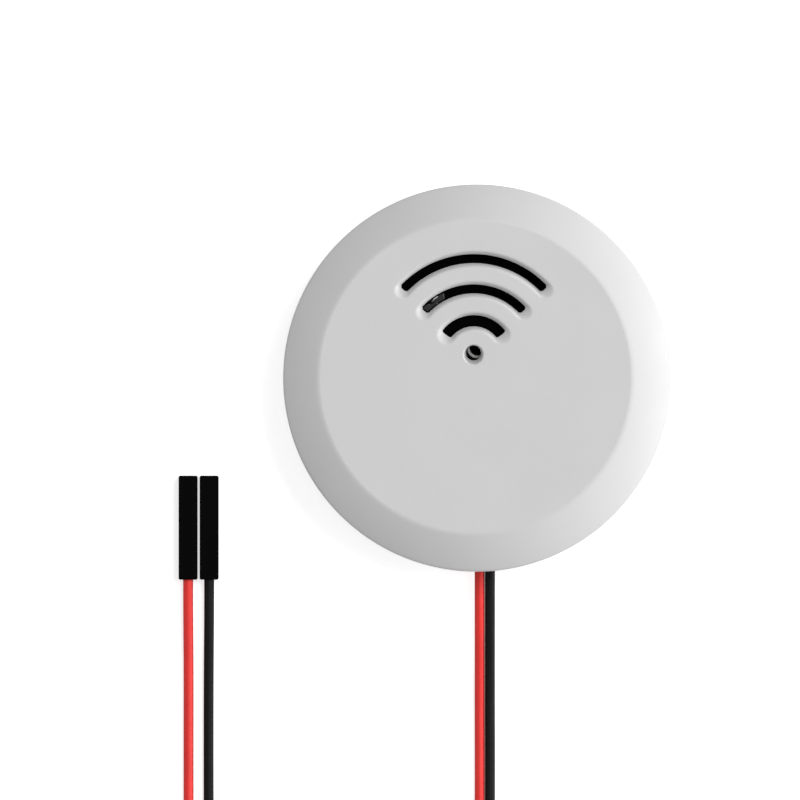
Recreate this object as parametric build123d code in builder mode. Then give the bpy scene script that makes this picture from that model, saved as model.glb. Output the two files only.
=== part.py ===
from build123d import *
import math
import os

os.makedirs("parts", exist_ok=True)

# Water level alarm: a round housing that lies on its back, with two sensing leads.
# Millimetres. The origin is the centre of the housing's back, +Z leaves its face,
# +Y points to the top of the sound slots and the leads leave towards -Y.

# Housing
disc_diameter = 52.0
disc_height = 16.0
face_diameter = 42.3
bevel_inner_slope = 25.0
bevel_outer_slope = 40.0
shoulder_rounding = 0.9
face_edge_rounding = 0.2
cover_wall = 1.8
cover_roof = 1.9
flange_thickness = 2.0
back_chamfer = 0.5
spigot_wall = 1.3
spigot_height = 3.0
spigot_clearance = 0.15

# Sound slots in the face
slot_centre = (-0.42, 3.1)
slot_radii = (12.92, 8.86, 4.58)
slot_widths = (1.2, 1.2, 1.5)
slot_half_span = 44.5
slot_corner_chamfer = 0.28
groove_margin = 0.52
groove_depth = 0.9
sound_hole_centre = (-0.51, 3.3)
sound_hole_diameter = 1.9
sound_dish_centre = (-0.48, 3.13)
sound_dish_diameter = 2.85

# Case screws and the bosses that take them
screw_first_angle = 90.0
screw_diameter = 2.0
screw_head_diameter = 3.8
screw_head_height = 1.2
screw_length = 8.0
screw_drive_width = 0.5
screw_drive_length = 2.2
screw_drive_depth = 0.6
boss_diameter = 4.6
boss_side_gap = 0.2
boss_end_gap = 0.1
post_height = 1.3
counterbore_depth = 1.4
counterbore_clearance = 0.2
shank_clearance = 0.2
thread_clearance = 0.02
pilot_tip_gap = 0.5

# Case gasket
gasket_height = 0.6
gasket_inset = 0.5
gasket_width = 1.0
gasket_clearance = 0.05

# Battery door, its seal and the ramps that hold it
cell_diameter = 24.5
cell_height = 5.0
cell_clearance = 0.25
door_setback = 0.3
door_plate = 1.5
door_ring_wall = 0.75
door_ring_height = 3.0
door_rim_width = 3.15
door_clearance = 0.2
door_seal_diameter = 1.12
door_seal_space = 0.04
door_recess_depth = 2.1
coin_slot_length = 15.0
coin_slot_width = 1.8
coin_slot_depth = 0.8
ramp_lead = 12.0
ledge_half_angle = 20.0
ledge_root = 0.6
lug_half_angle = 12.0
lug_thickness = 0.8
lug_reach = 1.05
lug_clearance = 0.15
stop_start_angle = 13.5
stop_height = 3.1
well_wall = 1.2
well_end_gap = 0.9
recess_roof = 1.2

# Circuit board and what hangs on it
board_diameter = 43.6
board_thickness = 1.0
contact_gap = 1.06
board_screw_gap = 2.5
board_screw_diameter = 1.6
board_screw_length = 5.2
board_screw_head_diameter = 3.4
board_screw_head_height = 1.1
board_notch_clearance = 0.3
standoff_diameter = 4.4
sounder_centre = (0.02, 4.0)
sounder_diameter = 12.0
sounder_top_gap = 0.6
sounder_wall = 0.8
sounder_port_diameter = 2.1
sounder_base_height = 1.0
sounder_disc_thickness = 0.3
sounder_chamber_height = 0.7
sounder_chamber_diameter = 8.8
sounder_pin_spacing = 6.5
sounder_pin_diameter = 0.6
driver_coil_centre = (-6.0, 10.6)
driver_coil_diameter = 4.4
driver_coil_drop = 0.1
contact_strip = 0.25
positive_contact_width = 4.0
positive_contact_foot = 3.4
negative_contact_width = 3.0
negative_contact_y = -3.0
cell_pole_diameter = 21.2
cell_pole_height = 0.5

# Pairing switch, pushed by a pin through the back
switch_centre = (-18.2, 6.2)
switch_size = (3.5, 3.0, 1.6)
switch_travel = 0.25
switch_lip = 0.3
plunger_diameter = 1.6
plunger_head_diameter = 2.2
plunger_head_height = 0.3
plunger_reach = 0.4
plunger_clearance = 0.08
plunger_end_gap = 0.1
pin_guide_diameter = 3.6
pin_guide_bore = 1.8
pin_guide_gap = 0.4

# Leads
lead_diameter = 1.36
lead_side_gap = 0.02
lead_exit_x = 1.10
lead_exit_height = 3.0
lead_exit_setback = 0.4
lead_first_run = 5.4
lead_pad_y = -19.6
lead_inner_radius = 2.2
grommet_width = 4.4
grommet_height = 2.6
grommet_flange_width = 6.0
grommet_flange_thickness = 0.8
grommet_flange_height = 3.3
grommet_clearance = 0.1

# Put-away coil of both leads, two layers of flat spiral
coil_centre_x = -18.05
coil_centre_y = -78.0
coil_outer_radius = 17.2
coil_side_gap = 0.04
coil_layer_gap = 0.44
coil_turns = 4.5
tie_thickness = 0.35
tie_width = 2.4
tie_slack = 0.2

# Single-pin socket housings on the leads' ends
socket_width = 2.54
socket_length = 14.0
socket_front_y = -13.14
socket_x = {"red": -38.85, "black": -36.01}
socket_chamfer = 0.15
socket_wall = 0.37
socket_mouth = 1.0
socket_mouth_depth = 1.2
socket_window_width = 1.2
socket_window_length = 3.4
contact_length = 6.0
contact_bore = 0.9
contact_clearance = 0.1
crimp_inset = 0.08
lead_end_y = -24.6

# Sizes that follow from those above
disc_radius = disc_diameter / 2
face_radius = face_diameter / 2
bevel_width = disc_radius - face_radius
bevel_slope = math.radians((bevel_inner_slope + bevel_outer_slope) / 2)
bevel_turn = math.radians(bevel_outer_slope - bevel_inner_slope)
bevel_drop = bevel_width * math.tan(bevel_slope)
bevel_sagitta = bevel_width / math.cos(bevel_slope) / 2 * math.tan(bevel_turn / 4)
shoulder_z = disc_height - bevel_drop
roof_z = disc_height - cover_roof
inner_radius = disc_radius - cover_wall
spigot_radius = inner_radius - spigot_clearance
post_top = flange_thickness + post_height
boss_end = post_top + boss_end_gap

ring_bore = cell_diameter / 2 + cell_clearance
ring_radius = ring_bore + door_ring_wall
ledge_radius = ring_radius + door_clearance
lug_radius = ring_radius + lug_reach
pocket_radius = lug_radius + door_clearance
door_radius = ring_radius + door_rim_width
recess_radius = door_radius + door_clearance
well_radius = pocket_radius + well_wall
housing_radius = recess_radius + recess_roof
housing_top = door_recess_depth + recess_roof
screw_circle_radius = housing_radius + boss_side_gap + boss_diameter / 2
board_screw_x = well_radius + board_screw_gap
door_floor = door_setback + door_plate
door_ring_top = door_floor + door_ring_height
seal_radius = (door_radius + lug_radius) / 2
seal_groove_width = door_seal_diameter + 2 * door_seal_space
seal_groove_depth = door_floor + door_seal_diameter + 2 * door_seal_space - door_recess_depth

ramp_rise = ramp_lead / 360
ramp_radius = (ledge_radius + pocket_radius) / 2
ramp_slope = math.degrees(ramp_rise) / ramp_radius
ramp_z = door_recess_depth + ledge_root + ramp_rise * ledge_half_angle
ramp_normal = (0, -ramp_slope, 1)
ledge_band = ledge_root + 2 * ramp_rise * ledge_half_angle
lug_z = ramp_z + lug_clearance

cell_radius = cell_diameter / 2
cell_bottom = door_floor + door_seal_space
cell_top = cell_bottom + cell_height
board_underside = cell_top + contact_gap
board_top = board_underside + board_thickness
well_top = board_underside - well_end_gap
case_screw_tip = counterbore_depth + screw_length
board_screw_tip = board_underside + board_screw_length
sounder_top = roof_z - sounder_top_gap
sounder_height = sounder_top - board_top
driver_coil_height = sounder_height - driver_coil_drop
switch_bottom = board_underside - switch_size[2]
pin_guide_top = switch_bottom - plunger_reach - pin_guide_gap

lead_radius = lead_diameter / 2
lead_pitch = lead_diameter + lead_side_gap
lead_exit_y = lead_exit_setback - disc_radius
lead_first_y = lead_exit_y - lead_first_run
coil_pitch = 2 * (lead_diameter + coil_side_gap)
coil_layer_step = lead_diameter + coil_layer_gap
coil_low_z = tie_thickness + lead_radius
coil_high_z = coil_low_z + coil_layer_step
coil_end_y = coil_centre_y + lead_diameter
socket_z = socket_width / 2
socket_cavity = socket_width - 2 * socket_wall
contact_width = socket_cavity - 2 * contact_clearance
contact_front_y = socket_front_y - socket_mouth_depth - contact_clearance
crimp_width = contact_width - 2 * crimp_inset

screw_angles = [screw_first_angle + 120 * step for step in range(3)]
screw_points = [
    (
        screw_circle_radius * math.cos(math.radians(angle)),
        screw_circle_radius * math.sin(math.radians(angle)),
    )
    for angle in screw_angles
]
board_screw_points = [(-board_screw_x, 0), (board_screw_x, 0)]
lead_x = {
    "red": lead_exit_x - lead_pitch / 2,
    "black": lead_exit_x + lead_pitch / 2,
}


# Shared shapes

def ring_sector(inner, outer, middle_angle, half_angle):
    """Flat sector of a ring about the origin, between two radii."""
    with BuildSketch() as sector:
        with BuildLine():
            start = middle_angle - half_angle
            outside = CenterArc((0, 0), outer, start, 2 * half_angle)
            inside = CenterArc((0, 0), inner, start, 2 * half_angle)
            Line(outside @ 0, inside @ 0)
            Line(outside @ 1, inside @ 1)
        make_face()
    return sector.sketch


def ramp_plane(height):
    """Plane that follows the door's ramp at mid radius, at a height above the floor."""
    return Plane(origin=(ramp_radius, 0, height), z_dir=ramp_normal)


def ring_solid(inner, outer, bottom, top):
    """Plain ring about the Z axis."""
    with BuildPart() as ring:
        with BuildSketch(Plane.XY.offset(bottom)):
            Circle(outer)
            Circle(inner, mode=Mode.SUBTRACT)
        extrude(amount=top - bottom)
    return ring.part


def screw_solid(diameter, length, head_diameter, head_height):
    """Pan-head screw that points up, with the underside of its head at z = 0."""
    with BuildPart() as screw:
        with BuildSketch(Plane.XY.offset(-head_height)):
            Circle(head_diameter / 2)
        extrude(amount=head_height)
        chamfer(screw.faces().sort_by(Axis.Z)[0].edges(), head_height / 4)
        with BuildSketch():
            Circle(diameter / 2)
        extrude(amount=length)
        chamfer(screw.faces().sort_by(Axis.Z)[-1].edges(), diameter / 5)
        with BuildSketch(Plane.XY.offset(-head_height)):
            Rectangle(screw_drive_length, screw_drive_width)
            Rectangle(screw_drive_width, screw_drive_length)
        extrude(amount=screw_drive_depth, mode=Mode.SUBTRACT)
    return screw.part


def corner_radii(points):
    """Largest radius that each corner of a lead's route has room for."""
    radii = []
    for before, here, after in zip(points, points[1:], points[2:]):
        first = Vector(*here) - Vector(*before)
        second = Vector(*after) - Vector(*here)
        half_turn = math.radians(first.get_angle(second)) / 2
        radii.append(0.45 * min(first.length, second.length) / math.tan(half_turn))
    return radii


def lead_tube(points, radii):
    """Round tube of the lead's diameter along straight runs and tangent arcs."""
    with BuildPart() as tube:
        with BuildLine():
            route = FilletPolyline(*points, radius=radii)
        with BuildSketch(Plane(origin=route @ 0, z_dir=route % 0)):
            Circle(lead_radius)
        sweep(path=route)
    section = math.pi * lead_radius**2
    ratio = tube.part.volume / (section * route.length)
    print(f"  length {route.length:.2f}, volume over section times length {ratio:.5f}")
    return tube.part


# Front cover: a cup with the face, the bevel, the sound slots, bosses and standoffs
with BuildPart() as front_cover:
    with BuildSketch(Plane.XZ):
        with BuildLine():
            rim = Line((inner_radius, flange_thickness), (disc_radius, flange_thickness))
            side = Line(rim @ 1, (disc_radius, shoulder_z))
            bevel = SagittaArc(side @ 1, (face_radius, disc_height), bevel_sagitta)
            face = Line(bevel @ 1, (0, disc_height))
            middle = Line(face @ 1, (0, roof_z))
            inner_corner = (face_radius - cover_roof / 2, roof_z)
            inner_shoulder = (inner_radius, shoulder_z - cover_roof / 2)
            Polyline(middle @ 1, inner_corner, inner_shoulder, rim @ 0)
        make_face()
    revolve(axis=Axis.Z)
    outer_rings = front_cover.edges().filter_by(GeomType.CIRCLE).group_by(Axis.Z)
    fillet(outer_rings[-1], face_edge_rounding)
    shoulder_edges = [
        edge
        for edge in front_cover.edges().filter_by(GeomType.CIRCLE)
        if edge.radius > disc_radius - 0.01 and edge.center().Z > flange_thickness + 0.01
    ]
    fillet(shoulder_edges, shoulder_rounding)
    with BuildSketch(Plane.XY.offset(boss_end)):
        with Locations(*screw_points):
            Circle(boss_diameter / 2)
    extrude(amount=roof_z - boss_end)
    with BuildSketch(Plane.XY.offset(board_top)):
        with Locations(*board_screw_points):
            Circle(standoff_diameter / 2)
    extrude(amount=roof_z - board_top)
    with BuildSketch(Plane.XY.offset(boss_end)):
        with Locations(*screw_points):
            Circle(screw_diameter / 2 + thread_clearance)
    extrude(amount=case_screw_tip - boss_end + pilot_tip_gap, mode=Mode.SUBTRACT)
    with BuildSketch(Plane.XY.offset(board_top)):
        with Locations(*board_screw_points):
            Circle(board_screw_diameter / 2 + thread_clearance)
    extrude(amount=board_screw_tip - board_top + pilot_tip_gap, mode=Mode.SUBTRACT)
    for slot_radius, slot_width in zip(slot_radii, slot_widths):
        slot_line = CenterArc(
            slot_centre,
            slot_radius,
            90 - slot_half_span,
            2 * slot_half_span,
            mode=Mode.PRIVATE,
        )
        with BuildSketch(Plane.XY.offset(disc_height)):
            SlotArc(arc=slot_line, height=slot_width + 2 * groove_margin)
        with BuildSketch(Plane.XY.offset(disc_height - groove_depth)):
            SlotArc(arc=slot_line, height=slot_width)
        loft(ruled=True, mode=Mode.SUBTRACT)
        slot_overrun = math.degrees(slot_width / 2 / slot_radius)
        with BuildSketch(Plane.XY.offset(roof_z)) as through_slot:
            with Locations(slot_centre):
                add(
                    ring_sector(
                        slot_radius - slot_width / 2,
                        slot_radius + slot_width / 2,
                        90,
                        slot_half_span + slot_overrun,
                    )
                )
            chamfer(through_slot.vertices(), slot_corner_chamfer)
        extrude(amount=cover_roof, mode=Mode.SUBTRACT)
    with BuildSketch(Plane.XY.offset(disc_height)):
        with Locations(sound_dish_centre):
            Circle(sound_dish_diameter / 2)
    with BuildSketch(Plane.XY.offset(disc_height - groove_depth)):
        with Locations(sound_hole_centre):
            Circle(sound_hole_diameter / 2)
    loft(ruled=True, mode=Mode.SUBTRACT)
    with BuildSketch(Plane.XY.offset(roof_z)):
        with Locations(sound_hole_centre):
            Circle(sound_hole_diameter / 2)
    extrude(amount=cover_roof, mode=Mode.SUBTRACT)
    with BuildSketch(Plane.XY.offset(flange_thickness)):
        with Locations((lead_exit_x, -disc_radius)):
            Rectangle(grommet_width + 2 * grommet_clearance, 4 * cover_wall)
    extrude(amount=grommet_height + grommet_clearance, mode=Mode.SUBTRACT)
front_cover.part.label = "front_cover"
export_step(front_cover.part, "parts/front_cover.step")


# Ledge that one lug of the door slides under, with its stop
with BuildPart() as door_ledge:
    with BuildSketch(Plane.XY.offset(door_recess_depth)):
        add(ring_sector(ledge_radius, pocket_radius + well_wall / 2, 0, ledge_half_angle))
    extrude(amount=ledge_band)
    split(bisect_by=ramp_plane(ramp_z), keep=Keep.BOTTOM)
    stop_half_angle = (ledge_half_angle - stop_start_angle) / 2
    with BuildSketch(Plane.XY.offset(door_recess_depth)):
        add(
            ring_sector(
                ledge_radius,
                pocket_radius + well_wall / 2,
                stop_start_angle + stop_half_angle,
                stop_half_angle,
            )
        )
    extrude(amount=stop_height)


# Rear case: the back plate, its spigot, the battery well with its ledges, and posts
with BuildPart() as rear_case:
    with BuildSketch():
        Circle(disc_radius)
    extrude(amount=flange_thickness)
    chamfer(rear_case.faces().sort_by(Axis.Z)[0].edges(), back_chamfer)
    with BuildSketch(Plane.XY.offset(flange_thickness)):
        Circle(spigot_radius)
        Circle(spigot_radius - spigot_wall, mode=Mode.SUBTRACT)
    extrude(amount=spigot_height)
    with BuildSketch(Plane.XY.offset(flange_thickness)):
        Circle(housing_radius)
    extrude(amount=housing_top - flange_thickness)
    with BuildSketch(Plane.XY.offset(housing_top)):
        Circle(well_radius)
    extrude(amount=well_top - housing_top)
    with BuildSketch(Plane.XY.offset(flange_thickness)):
        with Locations(*screw_points):
            Circle(boss_diameter / 2)
    extrude(amount=post_height)
    with BuildSketch(Plane.XY.offset(flange_thickness)):
        with Locations(switch_centre):
            Circle(pin_guide_diameter / 2)
    extrude(amount=pin_guide_top - flange_thickness)
    with BuildSketch():
        Circle(recess_radius)
    extrude(amount=door_recess_depth, mode=Mode.SUBTRACT)
    with BuildSketch(Plane.XY.offset(door_recess_depth)):
        Circle(pocket_radius)
    extrude(amount=well_top - door_recess_depth, mode=Mode.SUBTRACT)
    with PolarLocations(0, 3):
        add(door_ledge.part)
    with BuildSketch(Plane.XY.offset(flange_thickness)):
        Circle(disc_radius - gasket_inset)
        Circle(disc_radius - gasket_inset - gasket_width, mode=Mode.SUBTRACT)
    extrude(amount=-gasket_height, mode=Mode.SUBTRACT)
    with Locations(*[Plane((x, y, 0), z_dir=(0, 0, -1)) for x, y in screw_points]):
        CounterBoreHole(
            radius=screw_diameter / 2 + shank_clearance,
            counter_bore_radius=screw_head_diameter / 2 + counterbore_clearance,
            counter_bore_depth=counterbore_depth,
            depth=post_top,
        )
    with BuildSketch():
        with Locations(switch_centre):
            Circle(pin_guide_bore / 2)
    extrude(amount=pin_guide_top, mode=Mode.SUBTRACT)
    with BuildSketch(Plane.XY.offset(flange_thickness)):
        with Locations((lead_exit_x, -spigot_radius)):
            Rectangle(grommet_width + 2 * grommet_clearance, 4 * spigot_wall)
    extrude(amount=spigot_height, mode=Mode.SUBTRACT)
rear_case.part.label = "rear_case"
export_step(rear_case.part, "parts/rear_case.step")


# Case gasket: a flat ring in the back plate's groove, under the cover's rim
case_gasket = ring_solid(
    disc_radius - gasket_inset - gasket_width + gasket_clearance,
    disc_radius - gasket_inset - gasket_clearance,
    flange_thickness - gasket_height,
    flange_thickness,
)
case_gasket.label = "case_gasket"
export_step(case_gasket, "parts/case_gasket.step")


# Case screws: three, from the back into the cover's bosses
with BuildPart() as case_screws:
    with Locations(*[(x, y, counterbore_depth) for x, y in screw_points]):
        add(
            screw_solid(
                screw_diameter, screw_length, screw_head_diameter, screw_head_height
            )
        )
case_screws.part.label = "case_screws"
export_step(case_screws.part, "parts/case_screws.step")


# One lug of the door, between two planes of the ramp
with BuildPart() as door_lug:
    with BuildSketch(Plane.XY.offset(door_floor)):
        add(ring_sector(ring_radius - door_ring_wall / 2, lug_radius, 0, lug_half_angle))
    extrude(amount=door_ring_height)
    split(bisect_by=ramp_plane(lug_z), keep=Keep.TOP)
    split(bisect_by=ramp_plane(lug_z + lug_thickness), keep=Keep.BOTTOM)


# Battery door: plate, ring wall round the cell, three lugs, seal groove and coin slot
with BuildPart() as battery_door:
    with BuildSketch(Plane.XY.offset(door_setback)):
        Circle(door_radius)
    extrude(amount=door_plate)
    chamfer(battery_door.faces().sort_by(Axis.Z)[0].edges(), door_setback)
    with BuildSketch(Plane.XY.offset(door_floor)):
        Circle(ring_radius)
        Circle(ring_bore, mode=Mode.SUBTRACT)
    extrude(amount=door_ring_height)
    with PolarLocations(0, 3):
        add(door_lug.part)
    with BuildSketch(Plane.XY.offset(door_floor)):
        Circle(seal_radius + seal_groove_width / 2)
        Circle(seal_radius - seal_groove_width / 2, mode=Mode.SUBTRACT)
    extrude(amount=-seal_groove_depth, mode=Mode.SUBTRACT)
    with BuildSketch(Plane.XY.offset(door_setback)):
        SlotOverall(coin_slot_length, coin_slot_width)
    extrude(amount=coin_slot_depth, mode=Mode.SUBTRACT)
battery_door.part.label = "battery_door"
export_step(battery_door.part, "parts/battery_door.step")


# Door seal: a rubber ring in the door's groove
with BuildPart() as door_seal:
    with BuildSketch(Plane.XZ):
        seal_z = door_floor - seal_groove_depth + door_seal_space + door_seal_diameter / 2
        with Locations((seal_radius, seal_z)):
            Circle(door_seal_diameter / 2)
    revolve(axis=Axis.Z)
door_seal.part.label = "door_seal"
export_step(door_seal.part, "parts/door_seal.step")


# Coin cell: the can below, the smaller pole above
with BuildPart() as coin_cell:
    with BuildSketch(Plane.XY.offset(cell_bottom)):
        Circle(cell_diameter / 2)
    extrude(amount=cell_height - cell_pole_height)
    fillet(coin_cell.edges().filter_by(GeomType.CIRCLE), cell_pole_height)
    with BuildSketch(Plane.XY.offset(cell_top - cell_pole_height)):
        Circle(cell_pole_diameter / 2)
    extrude(amount=cell_pole_height)
coin_cell.part.label = "coin_cell"
export_step(coin_cell.part, "parts/coin_cell.step")


# Contacts: sprung strips from the board to the cell's side and to its pole
strip_z = board_underside - contact_strip / 2
with BuildPart() as positive_contact:
    with BuildSketch(Plane.XZ):
        with BuildLine():
            Polyline(
                (cell_radius - positive_contact_foot, strip_z),
                (cell_radius + 0.7, strip_z),
                (cell_radius + 0.95, cell_top + 0.1),
                (cell_radius + contact_strip / 2 + 0.03, cell_top - 1.0),
                (cell_radius + 0.55, door_ring_top + 0.45),
            )
        trace(line_width=contact_strip)
    extrude(amount=positive_contact_width / 2, both=True)
positive_contact.part.label = "positive_contact"
export_step(positive_contact.part, "parts/positive_contact.step")

with BuildPart() as negative_contact:
    with BuildSketch(Plane.XZ.offset(-negative_contact_y)):
        with BuildLine():
            Polyline(
                (-6.0, strip_z),
                (-1.0, strip_z),
                (3.6, cell_top + contact_strip / 2),
                (5.2, cell_top + contact_strip / 2),
                (6.2, cell_top + 0.5),
            )
        trace(line_width=contact_strip)
    extrude(amount=negative_contact_width / 2, both=True)
negative_contact.part.label = "negative_contact"
export_step(negative_contact.part, "parts/negative_contact.step")


# Circuit board: round, notched for the bosses, with holes for its two screws
with BuildPart() as circuit_board:
    with BuildSketch(Plane.XY.offset(board_underside)):
        Circle(board_diameter / 2)
        with Locations(*screw_points):
            Circle(boss_diameter / 2 + board_notch_clearance, mode=Mode.SUBTRACT)
        with Locations(*board_screw_points):
            Circle(board_screw_diameter / 2 + shank_clearance, mode=Mode.SUBTRACT)
    extrude(amount=board_thickness)
circuit_board.part.label = "circuit_board"
export_step(circuit_board.part, "parts/circuit_board.step")

with BuildPart() as board_screws:
    with Locations(*[(x, y, board_underside) for x, y in board_screw_points]):
        add(
            screw_solid(
                board_screw_diameter,
                board_screw_length,
                board_screw_head_diameter,
                board_screw_head_height,
            )
        )
board_screws.part.label = "board_screws"
export_step(board_screws.part, "parts/board_screws.step")


# Sounder: housing with its port, base, sounding disc and pins
sounder_radius = sounder_diameter / 2
sounder_bore = sounder_radius - sounder_wall
disc_seat_z = sounder_top - sounder_wall - sounder_chamber_height
with BuildPart() as sounder_housing:
    with BuildSketch(Plane.XY.offset(board_top)):
        with Locations(sounder_centre):
            Circle(sounder_radius)
    extrude(amount=sounder_height)
    fillet(sounder_housing.faces().sort_by(Axis.Z)[-1].edges(), sounder_wall / 2)
    with BuildSketch(Plane.XY.offset(board_top)):
        with Locations(sounder_centre):
            Circle(sounder_bore)
    extrude(amount=disc_seat_z - board_top, mode=Mode.SUBTRACT)
    with BuildSketch(Plane.XY.offset(disc_seat_z)):
        with Locations(sounder_centre):
            Circle(sounder_chamber_diameter / 2)
    extrude(amount=sounder_chamber_height, mode=Mode.SUBTRACT)
    with BuildSketch(Plane.XY.offset(disc_seat_z)):
        with Locations(sounder_centre):
            Circle(sounder_port_diameter / 2)
    extrude(amount=sounder_top - disc_seat_z, mode=Mode.SUBTRACT)
sounder_housing.part.label = "sounder_housing"
export_step(sounder_housing.part, "parts/sounder_housing.step")

pin_points = [
    (sounder_centre[0] - sounder_pin_spacing / 2, sounder_centre[1]),
    (sounder_centre[0] + sounder_pin_spacing / 2, sounder_centre[1]),
]
with BuildPart() as sounder_base:
    with BuildSketch(Plane.XY.offset(board_top)):
        with Locations(sounder_centre):
            Circle(sounder_bore - door_seal_space)
        with Locations(*pin_points):
            Circle(sounder_pin_diameter / 2 + thread_clearance, mode=Mode.SUBTRACT)
    extrude(amount=sounder_base_height)
sounder_base.part.label = "sounder_base"
export_step(sounder_base.part, "parts/sounder_base.step")

with BuildPart() as sounder_disc:
    with BuildSketch(Plane.XY.offset(disc_seat_z - sounder_disc_thickness)):
        with Locations(sounder_centre):
            Circle(sounder_bore - spigot_clearance)
    extrude(amount=sounder_disc_thickness)
sounder_disc.part.label = "sounder_disc"
export_step(sounder_disc.part, "parts/sounder_disc.step")

with BuildPart() as sounder_pins:
    with BuildSketch(Plane.XY.offset(board_top)):
        with Locations(*pin_points):
            Circle(sounder_pin_diameter / 2)
    extrude(amount=disc_seat_z - sounder_disc_thickness - board_top)
sounder_pins.part.label = "sounder_pins"
export_step(sounder_pins.part, "parts/sounder_pins.step")


# Driver coil: a sleeved drum with a dished top
with BuildPart() as driver_coil:
    with BuildSketch(Plane.XY.offset(board_top)):
        with Locations(driver_coil_centre):
            Circle(driver_coil_diameter / 2)
    extrude(amount=driver_coil_height)
    fillet(driver_coil.faces().sort_by(Axis.Z)[-1].edges(), driver_coil_diameter / 8)
    with BuildSketch(Plane.XY.offset(board_top + driver_coil_height)):
        with Locations(driver_coil_centre):
            Circle(driver_coil_diameter / 4)
    extrude(amount=-driver_coil_diameter / 10, mode=Mode.SUBTRACT)
driver_coil.part.label = "driver_coil"
export_step(driver_coil.part, "parts/driver_coil.step")


# Radio module: its own small board under a folded shield
radio_centre = (4.0, -12.5)
radio_board_size = (12.0, 9.5, 0.8)
radio_shield_size = (8.6, 7.6, 1.6)
radio_shield_wall = 0.2
radio_shield_corner = 0.5
radio_board_top = board_top + radio_board_size[2]
with BuildPart() as radio_board:
    with BuildSketch(Plane.XY.offset(board_top)):
        with Locations(radio_centre):
            Rectangle(radio_board_size[0], radio_board_size[1])
    extrude(amount=radio_board_size[2])
radio_board.part.label = "radio_board"
export_step(radio_board.part, "parts/radio_board.step")

with BuildPart() as radio_shield:
    with BuildSketch(Plane.XY.offset(radio_board_top)):
        with Locations(radio_centre):
            RectangleRounded(radio_shield_size[0], radio_shield_size[1], radio_shield_corner)
    extrude(amount=radio_shield_size[2])
    offset(
        amount=-radio_shield_wall,
        openings=radio_shield.faces().sort_by(Axis.Z)[0],
        kind=Kind.INTERSECTION,
    )
radio_shield.part.label = "radio_shield"
export_step(radio_shield.part, "parts/radio_shield.step")


# Pairing switch: body under the board and the plunger that its lip holds
plunger_room = plunger_head_height + switch_travel + plunger_end_gap
with BuildPart() as pair_switch_body:
    with BuildSketch(Plane.XY.offset(switch_bottom)):
        with Locations(switch_centre):
            Rectangle(switch_size[0], switch_size[1])
    extrude(amount=switch_size[2])
    with BuildSketch(Plane.XY.offset(switch_bottom)):
        with Locations(switch_centre):
            Circle(plunger_diameter / 2 + plunger_clearance)
    extrude(amount=switch_lip, mode=Mode.SUBTRACT)
    with BuildSketch(Plane.XY.offset(switch_bottom + switch_lip)):
        with Locations(switch_centre):
            Circle(plunger_head_diameter / 2 + plunger_clearance)
    extrude(amount=plunger_room, mode=Mode.SUBTRACT)
pair_switch_body.part.label = "pair_switch_body"
export_step(pair_switch_body.part, "parts/pair_switch_body.step")

with BuildPart() as pair_switch_plunger:
    with BuildSketch(Plane.XY.offset(switch_bottom - plunger_reach)):
        with Locations(switch_centre):
            Circle(plunger_diameter / 2)
    extrude(amount=plunger_reach + switch_lip)
    with BuildSketch(Plane.XY.offset(switch_bottom + switch_lip)):
        with Locations(switch_centre):
            Circle(plunger_head_diameter / 2)
    extrude(amount=plunger_head_height)
pair_switch_plunger.part.label = "pair_switch_plunger"
export_step(pair_switch_plunger.part, "parts/pair_switch_plunger.step")


# Small parts on the board's top
chip_centre = (9.6, -4.0)
chip_size = (3.9, 4.9, 1.3)
chip_stand_off = 0.15
chip_leg_pitch = 1.27
chip_leg_width = 0.4
chip_leg_reach = 1.0
chip_leg_thickness = 0.2
with BuildPart() as level_chip:
    with BuildSketch(Plane.XY.offset(board_top + chip_stand_off)):
        with Locations(chip_centre):
            Rectangle(chip_size[0], chip_size[1])
    extrude(amount=chip_size[2])
    chamfer(level_chip.faces().sort_by(Axis.Z)[-1].edges(), chip_stand_off)
    leg_row = chip_size[0] / 2 + chip_leg_reach / 2 - chip_leg_thickness / 2
    leg_knee = board_top + chip_size[2] / 2
    with BuildSketch(Plane.XY.offset(leg_knee)):
        with Locations(chip_centre):
            with GridLocations(2 * leg_row, chip_leg_pitch, 2, 4):
                Rectangle(chip_leg_reach, chip_leg_width)
    extrude(amount=chip_leg_thickness)
    leg_foot = chip_size[0] / 2 + chip_leg_reach - chip_leg_thickness
    with BuildSketch(Plane.XY.offset(board_top)):
        with Locations(chip_centre):
            with GridLocations(2 * leg_foot, chip_leg_pitch, 2, 4):
                Rectangle(chip_leg_thickness, chip_leg_width)
    extrude(amount=leg_knee - board_top + chip_leg_thickness)
level_chip.part.label = "level_chip"
export_step(level_chip.part, "parts/level_chip.step")

transistor_centre = (-10.4, 5.6)
transistor_size = (2.9, 1.3, 1.0)
with BuildPart() as drive_transistor:
    with BuildSketch(Plane.XY.offset(board_top)):
        with Locations(transistor_centre):
            Rectangle(transistor_size[0], transistor_size[1])
    extrude(amount=transistor_size[2])
    chamfer(drive_transistor.faces().sort_by(Axis.Z)[-1].edges(), chip_stand_off)
    with BuildSketch(Plane.XY.offset(board_top)):
        with Locations(transistor_centre):
            Rectangle(chip_leg_width, transistor_size[1] + chip_leg_reach)
    extrude(amount=chip_leg_thickness)
drive_transistor.part.label = "drive_transistor"
export_step(drive_transistor.part, "parts/drive_transistor.step")

led_centre = (0.0, 14.15)
led_size = (1.6, 0.8, 0.6)
with BuildPart() as status_led:
    with BuildSketch(Plane.XY.offset(board_top)):
        with Locations(led_centre):
            Rectangle(led_size[0], led_size[1])
    extrude(amount=led_size[2])
    fillet(status_led.edges().filter_by(Axis.Z), led_size[2] / 4)
status_led.part.label = "status_led"
export_step(status_led.part, "parts/status_led.step")

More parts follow.
